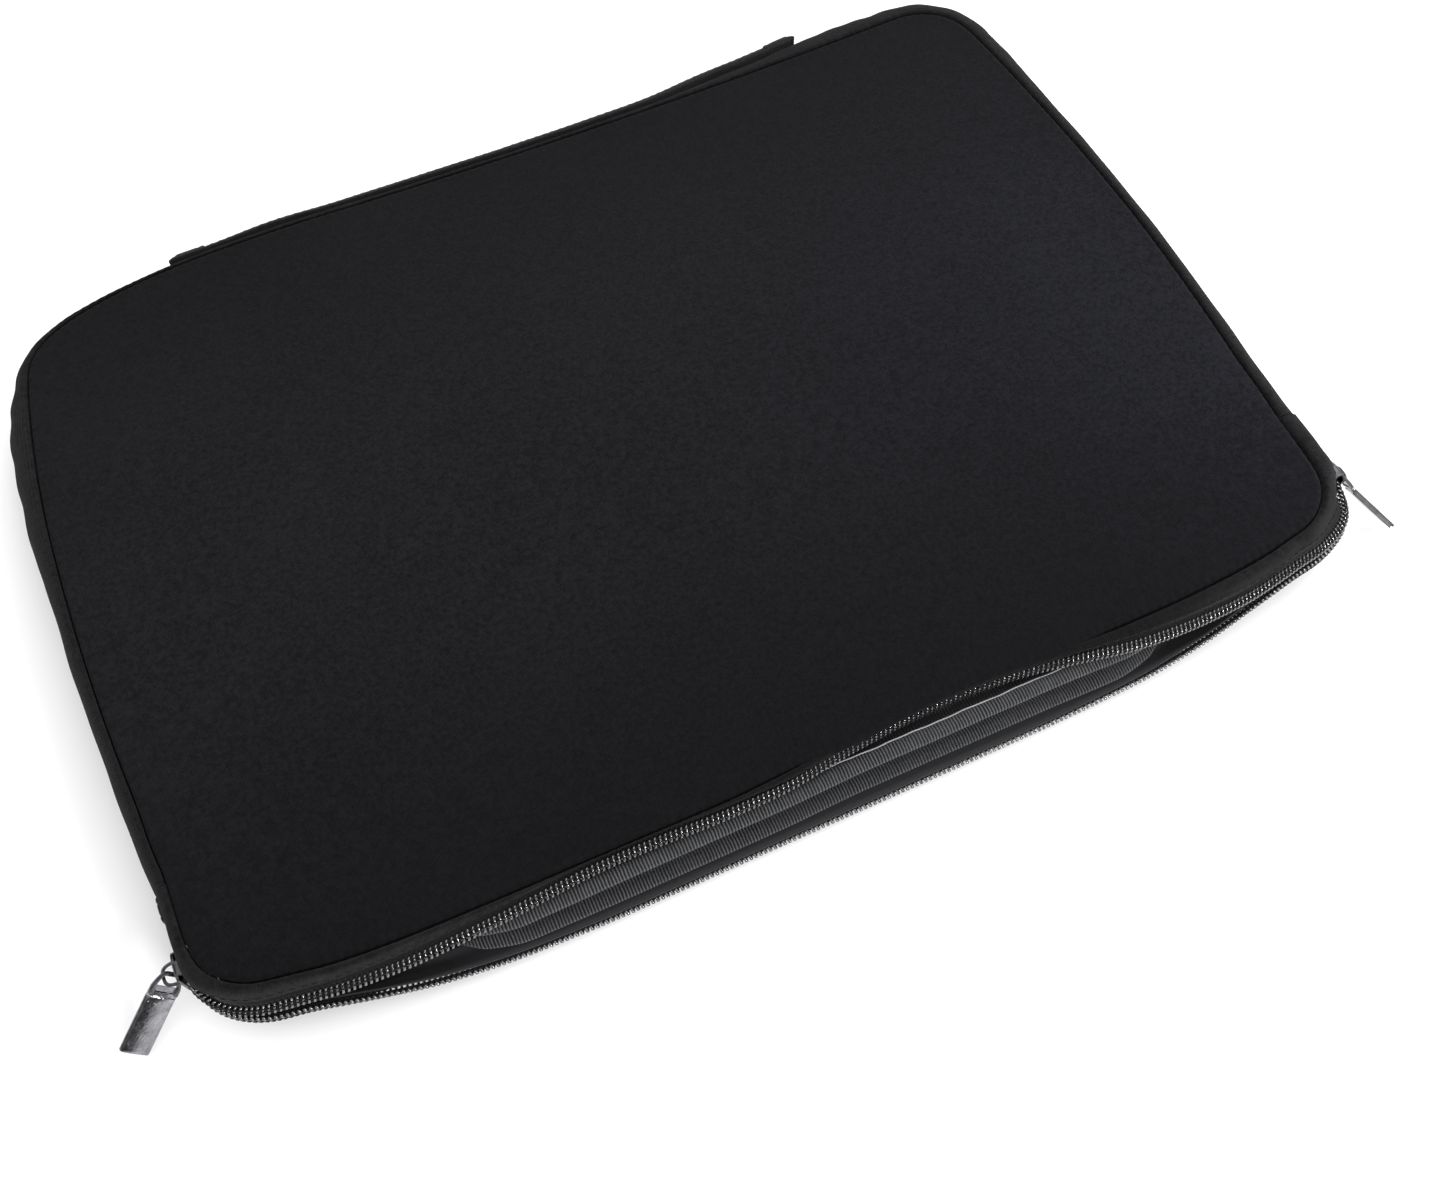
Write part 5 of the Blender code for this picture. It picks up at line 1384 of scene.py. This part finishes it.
def wire_bm(path, radius, frame_n, m=12, flat=1.0):
    """A round wire along path; frame_n is the side direction of its section."""
    p = np.asarray(path, float)
    t = unit(np.gradient(p, axis=0))
    side_ = unit(np.broadcast_to(frame_n, p.shape))
    up = unit(np.cross(side_, t))
    bm = bmesh.new()
    rings = []
    for i in range(len(p)):
        rr = radius if np.isscalar(radius) else radius[i]
        rings.append([bm.verts.new(p[i] + up[i] * rr * math.cos(a) + side_[i] * rr * flat * math.sin(a))
                      for a in 2 * np.pi * np.arange(m) / m])
    for a, b in zip(rings[:-1], rings[1:]):
        for j in range(m):
            k = (j + 1) % m
            bm.faces.new((a[j], a[k], b[k], b[j]))
    bm.faces.new(list(reversed(rings[0])))
    bm.faces.new(rings[-1])
    return bm


def slider(name, sx, face_x, y0):
    half = SLIDER_L / 2

    def put(t, n, z):
        return (face_x + sx * n, y0 + t, ZIP_Z + z)

    o0, o1 = GAP, GAP + PLATE_T
    i1 = -(COIL_T + 2 * TAPE_GAP + TAPE_T) - 0.65
    i0 = i1 - PLATE_T
    fl = -(COIL_T + TAPE_GAP) + 0.35
    h = SLIDER_HALF
    prof = [(-half, -h * 0.86), (-half + 1.2, -h), (half - 3.2, -h), (half - 0.8, -h * 0.82), (half, -h * 0.62),
            (half, h * 0.62), (half - 0.8, h * 0.82), (half - 3.2, h), (-half + 1.2, h), (-half, h * 0.86)]
    prof = rounded(prof, 0.9, 4)
    parts = [prism(prof, o0, o1, put, 0.26, 3, 40), prism(prof, i0, i1, put, 0.26, 3, 40)]
    # a raised panel on the outer plate, as cast
    inner = rounded([(-half + 1.0, -h + 1.5), (half - 2.6, -h + 1.5), (half - 1.1, -h * 0.52), (half - 1.1, h * 0.52),
                     (half - 2.6, h - 1.5), (-half + 1.0, h - 1.5)], 1.0, 4)
    parts.append(prism(inner, o1 - 0.2, o1 + 0.22, put, 0.16, 3, 40))
    for s in (-1, 1):
        z0, z1 = sorted((s * (h - 0.85), s * h))
        parts.append(prism([(-half + 1.3, z0), (half - 3.4, z0), (half - 3.4, z1), (-half + 1.3, z1)], fl, o1 - 0.2, put, 0.2, 3, 40))
    ring = [(-half + 0.5, 0.0), (-half + 1.3, -0.78), (-half + 3.2, -0.78), (-half + 4.0, 0.0), (-half + 3.2, 0.78), (-half + 1.3, 0.78)]
    parts.append(prism(ring, i0 + 0.2, o1 - 0.2, put, 0.1, 2, 40))
    # bridge: flattened wire arch with spread feet
    rt, rn = HOLE_T / 2, HOLE_N
    path, rad = [], []
    foot = o1 - 0.4
    path.append((-rt - WIRE / 2, foot))
    for i in range(25):
        a = math.pi * (1 - i / 24)
        ca, sa = math.cos(a), math.sin(a)
        path.append((math.copysign(abs(ca) ** 0.6, ca) * (rt + WIRE / 2) if abs(ca) > 1e-9 else 0.0,
                     o1 + 0.4 + max(sa, 0.0) ** 0.75 * (rn - 0.4 + WIRE / 2)))
    path.append((rt + WIRE / 2, foot))
    pts = np.array([put(t, n, 0.0) for t, n in path])
    k = np.linspace(0, 1, len(pts))
    rad = (WIRE / 2) * (1.0 + 0.45 * np.exp(-(np.minimum(k, 1 - k) / 0.07) ** 2))
    parts.append(wire_bm(pts, rad, np.array([0.0, 0.0, 1.0]), 14, 1.15))
    return merge(name, parts, SHADED_METAL_M, 35)


def puller(name, hinge, reach, tilt, plate, eye_tilt):
    Ld = unit(np.array(reach, float))
    flat = unit(np.cross(Ld, (0, 0, 1)))
    if flat[0] > 0:
        flat = -flat
    up = unit(np.cross(Ld, flat))
    if up[2] < 0:
        up = -up
    H = np.asarray(hinge, float)

    def put(l, w, n):
        a = math.radians(eye_tilt + (tilt - eye_tilt) * float(smooth(l / WINDOW_L)))
        W = unit(flat * math.cos(a) + up * math.sin(a))
        N = unit(np.cross(Ld, W))
        if N[2] < 0:
            N = -N
        return tuple(H + Ld * l + W * w + N * n)

    bar, tw, bw, wl = 0.55, PULL_TOP_W / 2, PULL_W / 2, WINDOW_L - 1.3

    def half_w(l):
        return tw + (bw - tw) * min(max(l / (0.62 * wl), 0), 1) ** 0.8

    # window frame, rounded inside and out
    lo = [(-bar, -tw * 0.55), (-bar * 0.35, -tw * 0.92)] + [(wl * k, -half_w(wl * k)) for k in (0.15, 0.3, 0.45, 0.65, 0.85, 1.0)]
    li = [(bar, -tw * 0.55), (bar * 1.4, -tw * 0.78)] + [(bar + (wl - 0.9 - bar) * k, -half_w(wl * k) + 0.80 + 0.85 * k)
                                                         for k in (0.15, 0.3, 0.45, 0.65, 0.88, 1.0)]
    lo = lo + [(l, -w) for l, w in reversed(lo)]
    li = li + [(l, -w) for l, w in reversed(li)]
    th = 0.48
    bm = bmesh.new()
    vo = [[bm.verts.new(put(l, w, s * th)) for l, w in lo] for s in (-1, 1)]
    vi = [[bm.verts.new(put(l, w, s * th)) for l, w in li] for s in (-1, 1)]
    m = len(lo)
    for i in range(m):
        j = (i + 1) % m
        bm.faces.new((vo[1][i], vo[1][j], vi[1][j], vi[1][i]))
        bm.faces.new((vo[0][i], vi[0][i], vi[0][j], vo[0][j]))
        bm.faces.new((vo[0][i], vo[0][j], vo[1][j], vo[1][i]))
        bm.faces.new((vi[0][i], vi[1][i], vi[1][j], vi[0][j]))
    bevelled(bm, 0.2, 3, 50)
    # the lower part of the window is closed by a thin recessed web
    wb = bmesh.new()
    l0 = 3.75
    cols = []
    for l in np.linspace(l0, wl - 0.6, 7):
        hw = half_w(l) - 0.45 - 0.6 * (l - bar) / (wl - bar)
        cols.append([wb.verts.new(put(l, x, z)) for x, z in ((-hw, -0.16), (hw, -0.16), (hw, 0.10), (-hw, 0.10))])
    for r0, r1 in zip(cols[:-1], cols[1:]):
        for j in range(4):
            q = (j + 1) % 4
            wb.faces.new((r0[j], r0[q], r1[q], r1[j]))
    wb.faces.new(list(reversed(cols[0])))
    wb.faces.new(cols[-1])
    bmesh.ops.recalc_face_normals(wb, faces=wb.faces)
    # bar: crowned face, thin turned-down right edge, square cut end
    b = bmesh.new()
    secs = []
    hh = PULL_T / 2
    ls = [(wl - 0.75, 0.60), (wl - 0.45, 0.64), (wl + 0.40, 0.70), (wl + 0.55, 0.74), (wl + 0.68, 0.95), (wl + 0.85, 1.0)]
    ls += [(x, 1.0) for x in np.linspace(wl + 2.0, PULL_REACH - 0.8, 12)]
    ls += [(PULL_REACH - 0.35, 1.0), (PULL_REACH - 0.12, 0.93), (PULL_REACH, 0.80)]
    for l, t in ls:
        e = max(0.0, 1 - (PULL_REACH - l) / 0.35)
        w = bw * (1 - 0.03 * e)
        ring = []
        us = np.linspace(-1, 1, 21)
        for u in us:                                    # crowned outer face
            edge = max(0.0, (abs(u) - 0.89) / 0.11)
            z = hh * t * (1.0 - 0.70 * (1 - math.sqrt(max(1 - edge * edge, 0.0)))) - 0.36 * t * u * u
            ring.append((w * u, z))
        for u in us[::-1]:
            edge = max(0.0, (abs(u) - 0.88) / 0.12)
            z = -hh * t * (1.0 - 0.45 * (1 - math.sqrt(max(1 - edge * edge, 0.0)))) - 0.28 * t * u * u
            ring.append((w * u, z))
        secs.append([b.verts.new(put(l, x, y)) for x, y in ring])
    k = len(secs[0])
    for r0, r1 in zip(secs[:-1], secs[1:]):
        for j in range(k):
            q = (j + 1) % k
            b.faces.new((r0[j], r0[q], r1[q], r1[j]))
    b.faces.new(list(reversed(secs[0])))
    b.faces.new(secs[-1])
    return merge(name, [wb, b], plate, 32), merge(name + "_frame", [bm], SHADED_FRAME_METAL_M, 32)


hole = GAP + PLATE_T + HOLE_N / 2
# the right puller's plate takes the darker, painted-shade copy of the gunmetal
for nm, sx, c, r, reach, tilt, plate, eye_tilt in (("left", -1, ZL_C, ZL_R, (-17.6, -12.4, -11.2), 52.0, METAL_M, 52.0),
                                                   ("right", 1, ZR_C, ZR_R, (11.8, -18.7, -10.5), 51.0, SHADED_PLATE_METAL_M, 67.0)):
    fx = c[0] + sx * (r + COIL_T / 2)
    place(slider("slider_" + nm, sx, fx, c[1]), nm + "_slider", nm + "_slider")
    for k, ob in enumerate(puller("puller_" + nm, (fx + sx * hole, c[1], ZIP_Z), reach, tilt, plate, eye_tilt)):
        place(ob, nm + "_puller", nm + "_puller" if k == 0 else None)


# ---------------------------------------------------------------------- handle
def spine_y(x):
    return HALF_D + bulge(np.degrees(np.arctan2(HALF_D, x)))


def band(x, n0, n1, half, m=30, crown=0.5, soft_edge=0.5):
    """Rounded section of a strap standing on its edge against the spine."""
    y = float(spine_y(x))
    z0 = 0.5 * (float(z_top(x, HALF_D)) + EDGE_Z) - 0.6
    ring = []
    for a in np.linspace(0, 2 * math.pi, m, endpoint=False):
        ca, sa = math.cos(a), math.sin(a)
        u = math.copysign(abs(sa) ** 0.32, sa)
        v = math.copysign(abs(ca) ** soft_edge, ca)
        n = 0.5 * (n0 + n1) + 0.5 * (n1 - n0) * v + (crown * (1 - u * u) if ca > 0 else 0.0)
        ring.append((x, y + n, z0 + half * u))
    return ring


xa, xb = -HANDLE_L + TAB_L + GAP, HANDLE_R - TAB_L - GAP
UNDER = 6.0                      # the strap runs on this far under its tabs
xs = np.linspace(xa - UNDER, xb + UNDER, 221)
secs = []
for x in xs:
    d = max(min(x - xa, xb - x), 0.0)
    puff = 0.75 * math.sin(math.pi * min(d / 50.0, 1.0)) ** 2
    k = float(smooth((min(x - xa, xb - x) + 2.4) / 2.6))
    secs.append(band(x, 0.15 + puff, puff + 1.20 + 0.62 * k + 0.04 * math.sin(x / 5.0), STRAP_W / 2 - 0.4 * (1 - k), 40, 0.2 + 0.2 * k))
S_ = np.array(secs)
N_ = grid_normals(S_)
if np.mean(N_[:, 0, 1]) < 0:
    N_ = -N_
for nm, sl, start, end in (("strap_left", slice(0, 112), xa, -52.0), ("strap_right", slice(111, 221), xb, 48.0)):
    part = S_[sl]
    y = float(spine_y(start))
    seen = slice(6, None) if start < 0 else slice(None, -6)
    ob = outward(skin(nm, part, STRAP_SHEEN_M, uv_run=run_of(S_.mean(1))[sl], uv_ring=run_of(S_[110], True)))
    ob.data.set_sharp_from_angle(angle=math.radians(62))
    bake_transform(ob)
    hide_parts("handle_strap")
    for k, j in enumerate((5, 35)):
        path = part[seen, j]
        nn = N_[sl][seen, j]
        st = stitch_row("%s_stitches_%d" % (nm, k), path, nn, THREAD_M, radius=0.2, lift=0.05)
        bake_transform(st)

for nm, s, end, node in (("strap_tab_left", -1, HANDLE_L, "left_handle_tab"), ("strap_tab_right", 1, HANDLE_R, "right_handle_tab")):
    xs_t = np.concatenate([[end - TAB_L, end - TAB_L + 0.12, end - TAB_L + 0.4], np.linspace(end - TAB_L + 0.9, end - 1.2, 30),
                           [end - 0.6, end - 0.2, end]])
    secs = []
    for x in xs_t:
        e = min(x - (end - TAB_L), (end - x))
        k = math.sqrt(max(1 - max(1 - e / 1.0, 0) ** 2, 0.0))
        far = float(smooth((x - (end - 4.0)) / 4.0))
        dip = 0.30 * (math.exp(-((x - (end - 2.6)) / 0.4) ** 2) + math.exp(-((x - (end - TAB_L + 2.4)) / 0.4) ** 2))
        secs.append(band(s * x, 0.05, 2.15 - 0.8 * (1 - k) - 1.15 * far - dip, STRAP_W / 2 + 0.5 - 0.35 * (1 - k) - 0.3 * far, 40, 0.35))
    if s < 0:
        secs.reverse()
    P = np.array(secs)
    ob = outward(skin(nm, P, STRAP_SHEEN_M))
    place(ob, "sleeve", node)
    N2 = grid_normals(P)
    if np.mean(N2[:, 0, 1]) < 0:
        N2 = -N2
    # box of stitches with a cross
    xx = P[:, 0, 0]

    def on_face(x, u):
        """Point on the tab's outer face; u from -1 to 1 in height."""
        y = np.interp(x, xx, P[:, 0, 1])
        zc = np.interp(x, xx, P[:, 0, 2])
        return np.array([x, y - 0.10 * abs(u) * 2.0, zc + u * 5.4])
    x_lo, x_hi = s * (end - TAB_L + 2.4), s * (end - 2.6)
    corners = [(x_lo, -1), (x_lo, 1), (x_hi, 1), (x_hi, -1), (x_lo, -1)]
    box_path = []
    for (x0, u0), (x1, u1) in zip(corners[:-1], corners[1:]):
        for t in np.linspace(0, 1, 14)[:-1]:
            box_path.append(on_face(x0 + (x1 - x0) * t, u0 + (u1 - u0) * t))
    box_path.append(on_face(x_lo, -1))
    nn = np.tile([[0.0, 1.0, 0.0]], (len(box_path), 1))
    place(stitch_row(nm + "_box_stitch", np.array(box_path), nn, THREAD_M, length=1.9, gap=0.5, radius=0.2, lift=0.1), "sleeve", None)
    for k, (u0, u1) in enumerate(((-1, 1), (1, -1))):
        pth = np.array([on_face(x_lo + (x_hi - x_lo) * t, u0 + (u1 - u0) * t) for t in np.linspace(0, 1, 20)])
        place(stitch_row("%s_cross_stitch_%d" % (nm, k), pth, nn[:20], THREAD_M, length=1.9, gap=0.5, radius=0.2, lift=0.1), "sleeve", None)


# ------------------------------------------------------- floor, light, camera
def stage_floor():
    me = bpy.data.meshes.new("floor")
    s = 6.0
    me.from_pydata([(-s, -s, -0.0004), (s, -s, -0.0004), (s, s, -0.0004), (-s, s, -0.0004)], [], [(0, 1, 2, 3)])
    m = bpy.data.materials.new("floor_white")
    m.use_nodes = True
    b = m.node_tree.nodes["Principled BSDF"].inputs
    b["Base Color"].default_value = (0.93, 0.93, 0.93, 1)
    b["Roughness"].default_value = 0.9
    b["Specular IOR Level"].default_value = 0.1
    me.materials.append(m)
    ob = bpy.data.objects.new("floor", me)
    bpy.context.scene.collection.objects.link(ob)


def area(name, loc, target, size, power, color=(1, 1, 1)):
    d = bpy.data.lights.new(name, "AREA")
    d.shape = "RECTANGLE"
    d.size, d.size_y = size
    d.energy = power
    d.color = color
    o = bpy.data.objects.new(name, d)
    o.location = loc
    o.rotation_mode = "QUATERNION"
    o.rotation_quaternion = (Vector(target) - Vector(loc)).to_track_quat("-Z", "Y")
    o.visible_camera = False
    bpy.context.scene.collection.objects.link(o)


stage_floor()
world = bpy.data.worlds.new("studio")
bpy.context.scene.world = world
world.use_nodes = True
# one big soft overhead light: bright above, dim towards the horizon, and a
# plain white backdrop
wt = world.node_tree
bg = wt.nodes["Background"]
bg.inputs["Color"].default_value = (1, 1, 1, 1)
tc = wt.nodes.new("ShaderNodeTexCoord")
sx_ = wt.nodes.new("ShaderNodeSeparateXYZ")
mr = wt.nodes.new("ShaderNodeMapRange")
mr.interpolation_type = "SMOOTHSTEP"
for k_, v_ in (("From Min", 0.16), ("From Max", 0.80), ("To Min", 0.05), ("To Max", 1.55)):
    mr.inputs[k_].default_value = v_
lp = wt.nodes.new("ShaderNodeLightPath")
mx = wt.nodes.new("ShaderNodeMix")
wt.links.new(tc.outputs["Generated"], sx_.inputs[0])
wt.links.new(sx_.outputs[2], mr.inputs["Value"])
wt.links.new(lp.outputs["Is Camera Ray"], mx.inputs[0])
wt.links.new(mr.outputs["Result"], mx.inputs[2])
mx.inputs[3].default_value = 1.0
wt.links.new(mx.outputs[0], bg.inputs["Strength"])
area("key", (0.95, 0.75, 0.85), (0.08, 0, 0), (1.7, 1.4), 15.0)
area("front", (0.42, -1.20, 0.50), (0, -0.13, 0), (0.40, 0.12), 13.0)

cam = bpy.data.cameras.new("camera")
cam.sensor_fit = "HORIZONTAL"
cam.sensor_width = 36.0
cam.lens = 1486.05 / 1444.0 * 36.0
cam.clip_start = 0.01
co = bpy.data.objects.new("camera", cam)
right = Vector((0.9091077, -0.41654954, -0.00310959))
down = Vector((-0.37128437, -0.80688801, -0.45943406))
fwd = Vector((0.18886796, 0.41882959, -0.88820644))
M = Matrix.Identity(4)
for k in range(3):
    M[k][0], M[k][1], M[k][2] = right[k], -down[k], -fwd[k]
M[0][3], M[1][3], M[2][3] = -0.09127, -0.26151, 0.42221
co.matrix_world = M
bpy.context.scene.collection.objects.link(co)
bpy.context.scene.camera = co

bpy.context.scene.view_settings.view_transform = "Standard"
bpy.context.scene.view_settings.look = "None"
